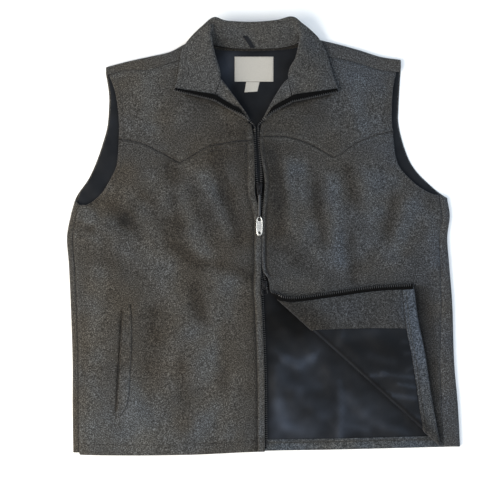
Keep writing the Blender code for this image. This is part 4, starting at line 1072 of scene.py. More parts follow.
def band_normals(outer, inner):
    return unit(np.cross(np.gradient((outer + inner) / 2, axis=0), inner - outer))


def tape(name, pairs):
    """Woven zip tape along pairs of (teeth side, tape side); returns the edges its teeth need."""
    pairs = smooth_rows(pairs.reshape(-1, 6), pairs.mean(axis=1), 3.0).reshape(-1, 2, 3)
    outer, inner = pairs[:, 0], pairs[:, 1]
    normal = band_normals(outer, inner)
    under_collar = smoothstep((outer[:, 1:2] - COLLAR_FROM) / 16)
    outer = outer - unit(inner - outer) * TEETH_REACH * under_collar + [0, 0, TEETH_LIFT] * under_collar
    start = outer + unit(inner - outer) * TAPE_FROM_TEETH
    rows = [start + (inner - start) * share + normal * up for share, up in TAPE_PROFILE]
    points = np.stack(rows, axis=1).reshape(-1, 3)
    made = mesh_object(name, points, ring_faces(len(pairs), len(rows)), "tape", 40)
    dress(made, node=name)
    return outer, inner, normal


def teeth(name, outer, inner, normal, start=0.0):
    """Moulded zip teeth along the outer edge of a tape."""
    lengths = lengths_along(outer)
    places = np.arange(start + TOOTH_PITCH / 2, lengths[-1] - 1, TOOTH_PITCH)
    spots = at_lengths(np.hstack([outer, inner - outer, normal]), lengths, places)
    inward, up = unit(spots[:, 3:6]), unit(spots[:, 6:9])
    forward = np.cross(inward, up)
    centre = spots[:, 0:3] + inward * TOOTH_IN
    rings = [centre - inward * (u * size) + forward * (v * size * 0.85) + up * high
             for high, size in TOOTH_LEVELS for u, v in TOOTH]
    points = np.stack(rings, axis=1).reshape(-1, 3)
    shape = ring_faces(len(TOOTH_LEVELS), len(TOOTH))
    faces = repeated(shape, range(0, len(points), len(rings)))
    dress(mesh_object(name, points, faces, "teeth", 35))


def front_stations(sections, side, top):
    """Zip edge points along the front end of the collar."""
    end, step_back = (0, 0.5) if side == "left" else (len(sections) - 1, -0.5)
    stations = []
    for n in range(7):
        w = 0.985 - n * 0.145
        first = section_points(sections, end, w)
        span = np.linalg.norm(section_points(sections, end + step_back, w) - first)
        outer_s = end + step_back * ZIP_INSET / span
        inner_s = end + step_back * min((ZIP_INSET + ZIP_ON_LAPEL) / span, 1.4)
        stations.append([loft_points(sections, s, w, top * TAPE_LIFT) for s in (outer_s, inner_s)])
    return stations


def lapel_stations(sections, top):
    """Zip edge points down the lapel, to where the tape starts to turn over."""
    stations = []
    for share in np.linspace(0, 1, 8):
        s = (len(sections) - 1.8) * (0.03 + 0.97 * share)
        lift = top * (TAPE_LIFT + TURN_STAND_OFF * share ** 3)
        width = np.linalg.norm(section_points(sections, s, 1.0) - section_points(sections, s, 0.5)) * 2
        outer_w = 1 - min(ZIP_INSET / width, 0.3)
        inner_w = 1 - min((ZIP_INSET + ZIP_ON_LAPEL) / width, 0.8)
        stations.append([loft_points(sections, s, w, lift) for w in (outer_w, inner_w)])
    return stations


def zip_pairs(side):
    """Edge points of a zip side, from the collar's tip down."""
    is_left = side == "left"
    pairs = front_stations(COLLAR_LEFT if is_left else COLLAR_RIGHT, side, 1)
    pairs += lapel_stations(LAPEL_LEFT if is_left else LAPEL_RIGHT, -1 if is_left else 1)
    for turn in LEFT_TURN if is_left else RIGHT_TURN:
        pairs.append(((turn.tx, turn.ty, turn.tz), (turn.px, turn.py, turn.pz)))
    out = -1 if is_left else 1
    for y in spread(CHAIN[0].y, CHAIN[-1].y, 14):
        x = along(CHAIN, "y", side, y)
        pairs.append(((x, y, TAPE_Z), (x + out * ZIP_WIDTH, y, TAPE_Z)))
    if is_left:
        for x, y in curve(LEFT_CHAIN_BELOW, 30):
            pairs.append(((x, y, TAPE_Z), (x - ZIP_WIDTH, y, TAPE_Z)))
    return np.array([[np.asarray(a, float), np.asarray(b, float)] for a, b in pairs])


def joined(*parts):
    """One outline from several stretches, without doubled corners."""
    outline = []
    for part in parts:
        for p in part:
            if not outline or math.dist(outline[-1], p) > 0.05:
                outline.append((float(p[0]), float(p[1])))
    if math.dist(outline[0], outline[-1]) < 0.05:
        outline.pop()
    return np.array(outline)


def dip(points, lines, depth=SEAM_DIP, width=SEAM_WIDTH):
    """Downward relief of points near sewn lines, with the cloth a little full beside them."""
    away = away_from(points, lines)
    return 0.3 * depth * bell(away - 4.5, 2.5) - depth * bell(away, width)


def seam_tone(points, lines, dark=0.85):
    """Number for the wool's colour beside sewn lines: painted shade in the seam's groove, and a painted
    highlight where the cloth is full beside it.
    """
    away = away_from(points, lines)
    return 0.16 * bell(away - 4.0, 2.2) - dark * bell(away, 0.9)


def patches_at(x, y, shades):
    """Number for the colour from broad patches of painted light and shade."""
    return sum(s.tone * bell(x - s.x, s.across) * bell(y - s.y, s.up) for s in shades)


def painted_light_tone(points):
    """Number for the wool's colour, mostly painted light and shade: a painted highlight above zero on folds,
    painted shade below zero between them, a little random unevenness and the broad painted patches.
    """
    x, y = points.T
    high = folds_at(x, y, FRONT_FOLDS + FRONT_CREASES)
    return np.clip((high - 0.6) / 4.5, -0.45, 0.42) + 0.06 * swell(x, y, 34, 6.0) + patches_at(x, y, PAINTED_LIGHT_PATCHES)


def hem_line(column, xs, up=0.0):
    return line_of(xs, along(HEMS, "x", column, xs) + up)


def side_tab(side, ys):
    """Side edge of the flat back, past its roll, where the seam with the front comes."""
    fold = side_fold(ys, side)
    past = math.pi * ROLL_RADIUS * (-1 if side == "left" else 1)
    return line_of(fold + past - (side_seam(ys, side) - fold), ys)


def shoulder_tab(xs):
    fold = shoulder_fold(xs)
    return line_of(xs, fold + math.pi * ROLL_RADIUS + fold - shoulder(xs, "seam"))


def build_back():
    """Wool back with its side and shoulder turns, its lining and its hem."""
    neckline = curve(NECKLINE)
    outline = joined(
        side_tab("left", spread(52, -344)),
        hem_line("back", spread(-300, 300)),
        side_tab("right", spread(-334, 66)),
        curve(RIGHT_ARMHOLE_BACK)[::-1],
        shoulder_tab(np.concatenate([[218], spread(211, 68)])),
        neckline + [0, 1.2],
        shoulder_tab(np.concatenate([spread(-98, -246), [-252]])),
        curve(LEFT_ARMHOLE_BACK),
    )
    lines = []
    for past in math.pi * ROLL_RADIUS * np.arange(9) / 8:
        for side, out, top in (("left", -1, 57), ("right", 1, 64)):
            ys = spread(-360, top)
            lines.append(line_of(side_fold(ys, side) + out * past, ys))
        for xs in (spread(-262, -90), spread(60, 228)):
            lines.append(line_of(xs, shoulder_fold(xs) + past))

    # Painted shade on the back along the neckline, under the collar
    def neck_tone(points):
        return -0.9 * bell(away_from(points, [neckline]), 9)

    cloth("back", outline, place_back, WOOL, "wool", cell=7, lines=lines, tone=neck_tone)
    top_x = spread(-288, 288)
    hem_top = hem_line("back", top_x, BACK_HEM)
    stitch_line = hem_top - [0, 5]

    def hem_relief(points):
        return dip(points, [stitch_line[::4]], 0.5, 1.6) + 0.15 * swell(*points.T, 30, 2.0)

    # A little paler with random unevenness, and painted shade in the groove of the stitch row
    def hem_tone(points):
        sewn = 0.5 * bell(away_from(points, [stitch_line[::4]]), 1.5)
        return 0.15 + 0.12 * swell(*points.T, 50, 4.0) - sewn

    cloth("back_hem", joined(hem_top, hem_line("back", top_x[::-1], 0.6)), place_hem, WOOL, "hem_wool",
          cell=6, lines=[stitch_line + [0, d] for d in (0, -2, 2)], relief=hem_relief, tone=hem_tone)
    STITCHES.on_cloth(stitch_line, place_hem, WOOL / 2 - 0.4)
    STITCHES.on_cloth(hem_top - [0, 2.2], place_hem, WOOL / 2)
    left_y = spread(56, along(HEMS, "x", "back", -300) + BACK_HEM)
    right_y = spread(along(HEMS, "x", "back", 300) + BACK_HEM, 58)
    right_x, left_x = spread(214, 70), spread(-100, -248)
    outline = joined(
        line_of(side_fold(left_y, "left") + 1, left_y),
        hem_top + [0, SEAM_GAP],
        line_of(side_fold(right_y, "right") - 1, right_y),
        curve(RIGHT_ARMHOLE_BACK[:-1])[::-1] - [2.5, 0],
        line_of(right_x, shoulder_fold(right_x) - 2),
        neckline - [0, 6],
        line_of(left_x, shoulder_fold(left_x) - 2),
        curve(LEFT_ARMHOLE_BACK[:-1]) + [2.5, 0],
    )

    # Painted sheen on the lining's creases, a little random unevenness, and broad patches of painted light
    # and shade
    def lining_tone(points):
        creased = np.clip(folds_at(*points.T, LINING_CREASES) / 2.8 - 0.1, -0.3, 0.7)
        return creased + 0.12 * swell(*points.T, 30, 3.0) + patches_at(*points.T, LINING_PAINTED_LIGHT)

    cloth("back_lining", outline, place_lining, SATIN, "lining", cell=6, tone=lining_tone)


def front_edge(side, high, low, away=0.0):
    """Points down a front edge, or beside it at a distance into the cloth."""
    ys = spread(high, low)
    return line_of(along(FRONT_EDGES, "y", side, ys) + (away if side == "right" else -away), ys)


def band_share(points, ends):
    """How much the strip along a front edge shows: it fades at its ends and beside the open zip."""
    y = points[:, 1]
    fade = smoothstep((ends[0] - y) / 12) * smoothstep((y - ends[1]) / 12)
    return fade * (1.0 - 0.5 * smoothstep((y + 20) / 120))


def past_edge(points, side):
    x, y = points.T
    return (along(FRONT_EDGES, "y", side, y) - x) * (1 if side == "left" else -1)


def band(points, side, ends):
    """The raised strip along a front edge, with the groove of its seam."""
    out, width = past_edge(points, side), BAND_WIDTHS[side]
    step = BAND_RAISE * (1 - smoothstep((out - width + 3) / 3)) * (0.7 + 0.5 * np.sin(out / width * math.pi))
    groove = GROOVE_DEPTH * bell(out - width - 0.6, GROOVE_WIDTH)
    return (step - groove) * band_share(points, ends)


def front_tone(points, seams, side, ends):
    """Painted light and shade of folds and seams, and of the strip: a painted highlight along it, painted
    shade in its groove and beside it.
    """
    out, width = past_edge(points, side), BAND_WIDTHS[side]
    strip_highlight = 0.34 * bell(out - width * 0.52, width * 0.3)
    dark = 0.7 * bell(out - width - 0.6, 1.5)
    shade = 0.16 * smoothstep((out - width) / 3) * (1 - smoothstep((out - width - 4) / 22))
    return painted_light_tone(points) + seam_tone(points, seams) + (strip_highlight - dark - shade) * band_share(points, ends)


def seam_lines(seam, distances):
    return [offset_line(seam, d)[2:-2] for d in distances]


def build_left_front(seam, side_line, hem_row):
    """The lower left front, with the sunk mouth of its pocket."""
    pocket, slit = curve(POCKET + POCKET[:1])[:-1], curve(POCKET_SLIT, 12)
    marks = [closed(pocket)[::2], hem_row[::6]]
    seams, ends = [seam, side_line[::4]], (172, -360)
    outline = joined(
        seam[::-1] - [0, SEAM_GAP],
        front_edge("left", 154, -342),
        hem_row - [0, FRONT_HEM],
        side_line + [SEAM_GAP, 0],
        [p for p in curve(LEFT_ARMHOLE_FRONT[4:-1])[::-1] if p[1] < 150],
    )

    def relief(points):
        sunk = 0.9 * bell(away_from(points, [slit]), 1.8) + 0.35 * bell(away_from(points, marks), 1.8)
        return dip(points, seams) + band(points, "left", ends) - sunk

    def tone(points):
        # Painted shade in the pocket's sunk opening, and in the grooves along the pocket's outline and the
        # hem's stitches
        sunk = 1.2 * bell(away_from(points, [slit]), 0.95) + 0.24 * bell(away_from(points, marks), 1.6)
        return front_tone(points, seams, "left", ends) - sunk

    lines = [front_edge("left", 150, -340, d) for d in (3, 6, 9, 10.4, 11.4, 12.2, 13, 14.4)]
    lines += seam_lines(seam, (-1.0, -2.2, -4.2)) + [closed(pocket)]
    lines += [closed(inset(pocket, d)) for d in (-1.6, 2.0)]
    lines += [slit[::2], offset_line(slit, 1.2)[1:-1:2], offset_line(slit, -1.2)[1:-1:2]]
    lines += [side_line + [d, 0] for d in (2.0, 3.6)]
    cloth("front_left", outline, place_front, WOOL, "wool", lines=lines, relief=relief, tone=tone)


def build_yoke(side, look, seam, top, outline, bends):
    """A yoke, with its seams, the shade of the collar on it and its end of the strip."""
    seams, ends = [seam, top[::3]], (178, -400)
    shades = [curve(line, 10) for line in COLLAR_SHADES]

    def relief(points):
        return dip(points, seams) + band(points, side, ends)

    def tone(points):
        return front_tone(points, seams, side, ends) - 1.1 * bell(away_from(points, shades), 4.4)

    lines = seam_lines(seam, (1.0, 2.2, 4.2))
    lines += [offset_line(top, d)[1:-1] for d in (-1.2, 1.2, 2.6, -2.6)]
    cloth("yoke_" + side, outline, place_front, WOOL, look, lines=lines + bends, relief=relief, tone=tone)


def build_right_front(seam, side_line):
    """The lower right front, flat and turned back over its crease."""
    ends = (172, -70)
    outline = joined(
        seam - [0, SEAM_GAP],
        [p for p in curve(RIGHT_ARMHOLE_FRONT[3:]) if p[1] < 164],
        side_line - [SEAM_GAP, 0],
        curve(FLAP_HEM_EDGE)[::-1],
        curve(FLAP_FRONT_EDGE)[::-1],
        front_edge("right", -88, 160),
    )

    def relief(points):
        return dip(points, [seam]) + dip(points, [side_line[::4]], 0.5) + band(points, "right", ends)

    def tone(points):
        """The cloth beside the turned-back corner lies in its shade."""
        x, y = points.T
        beside = x - np.interp(-y, [80, 334], [240, 266])
        near = smoothstep((beside + 6) / 6) * (1 - smoothstep(beside / 36))
        shade = 0.8 * near * smoothstep((-72 - y) / 14)
        return front_tone(points, [seam], "right", ends) - np.where(past_crease(x, y) < 0, shade, 0)

    lines = crease_lines(FINE_BENDS)
    lines += [front_edge("right", 156, -66, d) for d in (1.6, 3.2, 4.6, 5.6, 6.4, 7.2, 8.6)]
    lines += seam_lines(seam, (-1.0, -2.2, -4.2))
    lines += [side_line - [d, 0] for d in (2.0, 3.6)]
    cloth("front_right", outline, place_right_front, WOOL, "wool_right", lines=lines, relief=relief,
          tone=tone)


def build_fronts():
    """Lower fronts and yokes, meeting at the pointed seams, and the rows of stitches on them."""
    left_seam = joined(*[curve(part) for part in LEFT_YOKE_SEAM])
    right_seam = joined(*[curve(part) for part in RIGHT_YOKE_SEAM])
    left_y, right_y = spread(-344, 51), spread(64, -333)
    left_side = line_of(side_seam(left_y, "left"), left_y)
    right_side = line_of(side_seam(right_y, "right"), right_y)
    left_x, right_x = spread(-246, -98), spread(211, 68)
    left_top = line_of(left_x, shoulder(left_x, "seam"))
    right_top = line_of(right_x, shoulder(right_x, "seam"))
    hem_row = hem_line("front", spread(1, -294), FRONT_HEM)
    build_left_front(left_seam, left_side, hem_row)
    outline = joined(
        left_seam + [0, SEAM_GAP],
        [p for p in curve(LEFT_ARMHOLE_FRONT[:5])[::-1] if p[1] > 160],
        left_top - [0, SEAM_GAP],
        curve(LEFT_NECK),
        front_edge("left", 181, 156),
    )
    bends = [front_edge("left", 176, 158, d) for d in (6, 11, 12.6)]
    build_yoke("left", "wool", left_seam, left_top, outline, bends)
    outline = joined(
        right_seam + [0, SEAM_GAP],
        [p for p in curve(RIGHT_ARMHOLE_FRONT[:4])[::-1] if p[1] > 173],
        right_top - [0, SEAM_GAP],
        curve(RIGHT_NECK),
        front_edge("right", 182, 162),
    )
    bends = [front_edge("right", 176, 164, d) for d in (3, 6, 7.6)]
    build_yoke("right", "wool_right", right_seam, right_top, outline, bends)
    build_right_front(right_seam, right_side)
    face = WOOL / 2
    rows = []
    for seam in (left_seam, right_seam):
        rows += [(offset_line(seam, 2.4)[2:-2], face - 0.25), (offset_line(seam, 8.0)[3:-3], face)]
    rows += [(offset_line(top, 2.6), face - 0.2) for top in (left_top, right_top)]
    rows.append((front_edge("left", 146, -338, 12.7), face - 0.5))
    rows.append((front_edge("right", 152, -64, 6.7), face - 0.5))
    rows += [(left_side + [3.4, 0], face - 0.2), (hem_row[2:], face)]
    for armhole, middle in ((LEFT_ARMHOLE_FRONT[:-1], -120), (RIGHT_ARMHOLE_FRONT, 120)):
        edge = curve(armhole)
        beside = inset(joined(edge, [(middle, 60), (middle, 250)]), 7)
        rows.append((beside[2:len(edge) - 3], face))
    for line, lift in rows:
        STITCHES.on_cloth(line, place_front, lift)


def crease_lines(distances):
    """Lines beside the crease, at distances past it."""
    run = np.outer(spread(-120, 480), CREASE_ALONG)
    return [CREASE_START + CREASE_OUT * past + run for past in distances]


def clipped(outline, past):
    """The part of an outline that lies further than a distance past the crease."""
    kept = []
    for a, b in zip(outline, np.roll(outline, -1, axis=0)):
        da, db = past_crease(*a) - past, past_crease(*b) - past
        if da >= 0:
            kept.append(a)
        if (da >= 0) != (db >= 0):
            kept.append(a + (b - a) * da / (da - db))
    return np.array(kept)


def past_only(line, distance):
    """The points of a line that lie further than a distance past the crease."""
    return line[past_crease(*line.T) > distance]


def build_flap():
    """Facing, lining, hem and tape inside the turned-back corner; returns the edges its teeth need."""
    under = -(WOOL / 2 + SEAM_GAP)
    lines = crease_lines(FINE_BENDS[1:])
    edge = curve([(13.5, -92)] + FLAP_FRONT_EDGE)
    zip_edge = edge + [ZIP_ON_LAPEL - TEETH_OUT + SEAM_GAP, 0]
    corner_x = zip_edge[-1][0]
    hem_top = curve(HEM_FOLD_EDGE)
    facing_edge = curve(FACING_EDGE[:-1] + [(90, -298 + SEAM_GAP)])
    facing = joined(
        facing_edge,
        [(corner_x, -298 + SEAM_GAP)],
        [p for p in zip_edge[::-1] if p[1] > -297],
        [(40, -80), (70, -90)],
    )
    hem_seam = line_of(spread(corner_x, 90), -298.0)

    def facing_relief(points):
        return dip(points, [hem_seam], 0.9, 1.8) + 0.2 * swell(*points.T, 40, 7.0)

    def facing_tone(points):
        shade = 0.45 * (1 - smoothstep((past_crease(*points.T) - 8) / 40))
        return seam_tone(points, [hem_seam], 1.0) - shade + 0.08 * swell(*points.T, 60, 2.0)

    cloth("flap_facing", clipped(facing, INSIDE_START), place_right_front, WOOL, "facing_wool",
          lift=under - WOOL / 2, lines=lines + [hem_seam + [0, d] for d in (1.6, 3.2)],
          relief=facing_relief, tone=facing_tone, under=True)
    lining = joined(
        facing_edge + [SEAM_GAP, 0],
        [p + [0, SEAM_GAP] for p in hem_top if p[0] > 91],
        [(290, -290), (290, -120)],
    )

    def lining_tone(points):
        """Painted shade where the lining bends into the crease, with a painted highlight along the bend, and
        painted sheen on its creases and painted light and shade in patches beyond.
        """
        x, y = place_right_front(*points.T, 0.0)[:, :2].T
        past = past_crease(*points.T)
        flat = smoothstep((past - 8) / 3)
        creased = np.clip(folds_at(x, y, FLAP_CREASES) / 2.0 - 0.25, -0.25, 0.6)
        return flat - 1 + 1.1 * bell(past - 6.4, 1.5) + flat * (creased + patches_at(x, y, FLAP_PAINTED_LIGHT))

    cloth("flap_lining", clipped(lining, INSIDE_START), place_flap_lining, SATIN, "lining",
          lift=under - SATIN / 2, lines=lines, tone=lining_tone)
    hem_low = np.array([p + [0, 1] for p in curve(FLAP_HEM_EDGE)[::-1] if p[0] > corner_x + 1])
    inner = np.array([p for p in hem_top if p[0] > corner_x + 1])
    hem = joined([(corner_x, -298)], inner, [(284, -310), (288, -331)], hem_low, [(corner_x, -316)])

    def hem_relief(points):
        return dip(points, [inner[::3]], 0.8, 1.8) + 0.25 * swell(*points.T, 26, 3.0)

    def hem_tone(points):
        past = past_crease(*points.T)
        # Painted shade in the seam, in the ditch of the stitches and near the crease, a little paler further
        # from it
        ditch = 0.6 * bell(points[:, 1] - np.interp(points[:, 0], *inner.T) + HEM_STITCHES, 1.4)
        shade = 0.5 * (1 - smoothstep((past - 6) / 26)) - 0.25 * smoothstep((past - 40) / 60)
        return seam_tone(points, [inner[::3]], 1.0) - ditch - shade

    cloth("flap_hem", clipped(hem, INSIDE_START), place_right_front, WOOL, "hem_wool",
          lift=under - WOOL / 2, lines=lines + [inner - [0, d] for d in (1.6, 3.4, HEM_STITCHES, 7.0)],
          relief=hem_relief, tone=hem_tone, under=True)
    tape_in, tape_out = [ZIP_ON_LAPEL - TEETH_OUT, 0], [TEETH_OUT, 0]
    strip = clipped(joined(edge - tape_out, (edge + tape_in)[::-1]), TAPE_START)
    cloth("zip_flap", inset(strip, -0.2), place_right_front, 0.9, "tape", lift=under - TAPE / 2, lines=lines)
    low = under - WOOL
    sewn = past_only(inner, 14)
    STITCHES.on_cloth(sewn - [0, HEM_STITCHES], place_right_front, low + 0.1, side=-1)
    STITCHES.on_cloth(sewn - [0, 2.2], place_right_front, low + 0.2, side=-1)
    STITCHES.on_cloth(past_only(zip_edge, 14) + [2.2, 0], place_right_front, low, side=-1)
    teeth_line = past_only(edge, TAPE_START)
    outer = place_right_front(*(teeth_line - tape_out).T, under - TAPE / 2)
    inner = place_right_front(*(teeth_line + tape_in).T, under - TAPE / 2)
    return outer, inner, band_normals(outer, inner)


def plate(name, outline, holes, place, thickness, look, bevel, body="garment", node=None):
    """Flat plate with holes and rounded edges, placed by a function of (u, v, w)."""
    loops = [np.array(outline, float)] + [np.array(hole, float) for hole in holes]
    flat = np.vstack(loops)
    edges, start = [], 0
    for loop in loops:
        edges += [(start + n, start + (n + 1) % len(loop)) for n in range(len(loop))]
        start += len(loop)
    cut = geometry.delaunay_2d_cdt([Vector(p) for p in flat], edges, [], 0, 1e-6)
    verts = np.array([tuple(v) for v in cut[0]])
    faces = []
    for face in cut[2]:
        middle = verts[list(face)].mean(axis=0)[None]
        if inside(middle, loops[0])[0] and not any(inside(middle, hole)[0] for hole in loops[1:]):
            faces.append([cut[3][k][0] for k in face])
    half = len(flat)
    points = [place(u, v, thickness / 2) for u, v in flat] + [place(u, v, -thickness / 2) for u, v in flat]
    faces += [[k + half for k in reversed(face)] for face in faces]
    faces += [[b, a, a + half, b + half] for a, b in edges]
    made = mesh_object(name, points, faces, look, 40)
    bm = bmesh.new()
    bm.from_mesh(made.data)
    bmesh.ops.dissolve_limit(bm, angle_limit=0.01, verts=bm.verts[:], edges=bm.edges[:])
    sharp = [e for e in bm.edges if e.is_manifold and e.calc_face_angle(0) > math.radians(60)]
    bmesh.ops.bevel(bm, geom=sharp, offset=bevel * MM, segments=3, profile=0.6, affect="EDGES",
                    clamp_overlap=True)
    bm.to_mesh(made.data)
    bm.free()
    made.data.shade_smooth()
    dress(made, body, node)


def tube(name, line, radius, look, body, sides=12, is_closed=False, node=None):
    """Round wire along a line of points; a radius may be given for each point."""
    line = np.asarray(line, float)
    radius = np.broadcast_to(radius, len(line))
    run = np.roll(line, -1, axis=0) - np.roll(line, 1, axis=0) if is_closed else np.gradient(line, axis=0)
    run = unit(run)
    guide = np.array([0.0, 0.0, 1.0]) if abs(run[0][2]) < 0.7 else np.array([1.0, 0.0, 0.0])
    side = unit(np.cross(run, guide))
    up = np.cross(side, run)
    angles = [math.tau * n / sides for n in range(sides)]
    rings = [line + (side * math.cos(a) + up * math.sin(a)) * radius[:, None] for a in angles]
    points = np.stack(rings, axis=1).reshape(-1, 3)
    made = mesh_object(name, points, ring_faces(len(line), sides, is_closed), look)
    dress(made, body, node)
    return made


def oval(width, length, count=24, power=2.0):
    """Outline of an oval, squarer for a higher power."""
    angles = np.arange(count) * math.tau / count
    c, s = np.cos(angles), np.sin(angles)
    return np.column_stack([
        width / 2 * np.sign(c) * np.abs(c) ** (2 / power),
        length / 2 * np.sign(s) * np.abs(s) ** (2 / power),
    ])


def with_mirror(points):
    """A half outline and its mirror image across the middle."""
    return points + [(-u, v) for u, v in reversed(points)]


def build_slider(name, middle):
    """Slider's upper plate, narrowing down the vest, and its bail."""
    x, y = middle
    top = SLIDER_Z + SLIDER_PLATE / 2
    half, low_half, end = SLIDER_WIDTH / 2, SLIDER_WIDTH / 2 - 1.1, SLIDER_LENGTH / 2
    outline = with_mirror([
        (-0.7, end - 0.5), (-half + 1.2, end), (-half + 0.2, end - 0.9), (-half, end - 3), (-half + 0.2, 0),
        (-low_half, -end + 2), (-low_half + 1.4, -end),
    ])
    plate(name, outline, [], lambda u, v, w: (x + u, y + v, SLIDER_Z + w), SLIDER_PLATE, "black_metal", 0.4,
          node=name)
    half, rise = BAIL_SPAN / 2, BAIL_TOP - top
    arch = [(-half, -0.3), (-half, rise * 0.5), (-half * 0.78, rise * 0.86), (-half * 0.4, rise)]
    half, low = half - BAIL_WALL, rise - BAIL_WALL * 0.8
    hollow = [(half, -0.3), (half, rise * 0.45), (half * 0.74, low * 0.9), (half * 0.36, low)]
    plate(name + "_bail", with_mirror(arch) + with_mirror(hollow), [],
          lambda u, v, w: (x + w, y + u, top + v), BAIL_WIDTH, "black_metal", 0.35)


def build_top_pull():
    """Puller with its eye, strap and ring, and the tag that hangs on the ring."""
    x, bar_y = SLIDER_TOP[0], SLIDER_TOP[1] - PULL_BAR_BACK
    ring_y = bar_y - PULLER_LENGTH
    eye = [(PULL_EYE_HALF, BAR_RADIUS), (PULL_EYE_HALF, -PULL_EYE + 1), (2.6, -PULL_EYE - 1.6),
           (1.6, -PULL_EYE - 2.6)]
    gap = [(2.0, -BAR_RADIUS), (2.0, -PULL_EYE + 1.2), (1.2, -PULL_EYE + 0.4)]
    plate("pull_top", with_mirror(eye), [with_mirror(gap)], lambda u, v, w: (x + u, bar_y + v, PULL_Z + w),
          PULL_THICKNESS, "black_metal", 0.4, "pull_top", "pull_top")
    steps = np.linspace(0, 1, 60)
    low, high = ring_y + TAG_RING_OUT - 0.4, bar_y - PULL_EYE - 1.0
    ribs = 1.75 + 0.14 * np.abs(np.sin(steps * 22 * math.pi)) - 0.35 * (np.maximum(steps - 0.9, 0) / 0.1)
    strap = tube("pull_strap", points3(x, high + (low - high) * steps, PULL_Z), ribs, "teeth", "pull_top")
    strap.data.transform(flatten_about(PULL_Z, 0.42))
    circle = np.linspace(0, math.tau, 28, endpoint=False)
    middle = (TAG_RING_OUT + TAG_RING_IN) / 2
    ring = points3(x, ring_y + middle * np.cos(circle), PULL_Z + middle * np.sin(circle))
    tube("pull_ring", ring, (TAG_RING_OUT - TAG_RING_IN) / 2 + 0.05, "black_metal", "pull_top", 10, True)
    centre = -TAG_LENGTH / 2 + TAG_BAR
    face = TAG_THICKNESS / 2 - 0.15

    def tag_place(u, v, w):
        return (x + u, ring_y + centre + v, PULL_Z + w)

    upper = oval(5.0, 5.4, 20, 2.6) + [0, -centre - TAG_BAR - 2.7]
    lower = oval(4.4, 4.4, 20) + [0, -TAG_LENGTH / 2 + 4.6]
    plate("pull_tag", oval(TAG_WIDTH, TAG_LENGTH, 48, 3.2), [upper, lower], tag_place, TAG_THICKNESS - 0.3,
          "silver", 0.3, "pull_tag", "pull_tag")
    rims = [("tag_rim", oval(TAG_WIDTH - 1.1, TAG_LENGTH - 1.1, 56, 3.2), 0.36)]
    for name, hole in (("tag_eye_upper", upper), ("tag_eye_lower", lower)):
        middle = hole.mean(axis=0)
        rims.append((name, middle + (hole - middle) * 1.16, 0.32))
    for name, rim, radius in rims:
        tube(name, [tag_place(u, v, face) for u, v in rim], radius, "silver", "pull_tag", 8, True)


def build_bottom_pull():
    """The lower slider's ring."""
    x, bar_y = SLIDER_BOTTOM[0], SLIDER_BOTTOM[1] - PULL_BAR_BACK
    frame = with_mirror([
        (PULL_EYE_HALF - 0.7, 0.0), (PULL_EYE_HALF, -1.6), (4.9, -RING_LENGTH + 4.0),
        (4.6, -RING_LENGTH + 1.9), (2.6, -RING_LENGTH + 0.8),
    ])
    line = curve(frame[-1:] + frame, 1.2)[:-1]
    tube("pull_bottom", points3(x + line[:, 0], bar_y + line[:, 1], PULL_Z), 0.72, "black_metal",
         "pull_bottom", 12, True, "pull_bottom")


def flatten_about(height, share):
    """Matrix that flattens a mesh in metres towards a height in millimetres."""
    level = Vector((0, 0, height * MM))
    return Matrix.Translation(level) @ Matrix.Diagonal((1, 1, share, 1)) @ Matrix.Translation(-level)


def build_label():
    """Bare neck label with its row of stitches, and the size tab under it."""
    xs, ys = spread(-47, 15), spread(288.3, 248.4)
    label = joined(line_of(xs, ys[0])[::-1], line_of(xs[0], ys), line_of(xs, ys[-1]),
                   line_of(xs[-1], ys[::-1]))
    cloth("neck_label", label, place_label, LABEL, "label", cell=5,
          relief=lambda points: dip(points, [closed(inset(label, 2.2))], 0.2, 1.0))
    thread = Threads()
    thread.on_cloth(closed(inset(label, 1.9)), place_label, LABEL / 2 - 0.1, 2.2)
    thread.build("label_stitches", "label_thread")
    share = np.linspace(0, 1, 6)[:, None]
    corners = np.array([(-28.5, 248.0), (-31.4, 231.2), (-10.7, 232.6), (-7, 248.0)])
    tab = joined(*[a + (b - a) * share for a, b in zip(corners, np.roll(corners, -1, axis=0))])
    cloth("size_tab", tab, place_label, LABEL, "label", cell=4)


def build_hanger_loop():
    """Loop sewn inside the back of the collar."""
    sections = COLLAR_LEFT + COLLAR_RIGHT
    share = np.linspace(0, 1, 24)
    s, w = len(COLLAR_LEFT) - 1.05 - 0.26 * share, 0.03 + 0.3 * share
    lift = DOUBLE_WOOL / 2 + SEAM_GAP + 0.7
    outer, inner = loft_points(sections, s - 0.09, w, lift), loft_points(sections, s + 0.09, w, lift)
    normal = band_normals(outer, inner)
    rows = [outer + (inner - outer) * k / 4 + normal * (0.2 + bulge)
            for k, bulge in enumerate((0.0, 0.35, 0.5, 0.35, 0.0))]
    rows += [inner - normal * 0.5, outer - normal * 0.5]
    points = np.stack(rows, axis=1).reshape(-1, 3)
    made = mesh_object("hanger_loop", points, ring_faces(len(share), len(rows)), "lining", 60)
    dress(made, node="hanger_loop")


def build_pocket():
    """Welt of the left pocket, sunk along its open side."""
    outline, slit = curve(POCKET + POCKET[:1])[:-1], curve(POCKET_SLIT, 12)

    def relief(points):
        return 0.2 * swell(*points.T, 26, 5.0) - 0.7 * bell(away_from(points, [slit]), 1.8)

    def tone(points):
        # Painted shade down the pocket's sunk opening
        return painted_light_tone(points) - 1.1 * bell(away_from(points, [slit]), 1.1)

    top = WOOL / 2 + SEAM_GAP + WELT
    cloth("pocket_welt", outline, place_front, WELT, "wool", lift=top - WELT / 2 - 0.5, cell=3.4,
          relief=relief, tone=tone)
    STITCHES.on_cloth(inset(outline, 2.6)[9:22], place_front, top - 0.6)


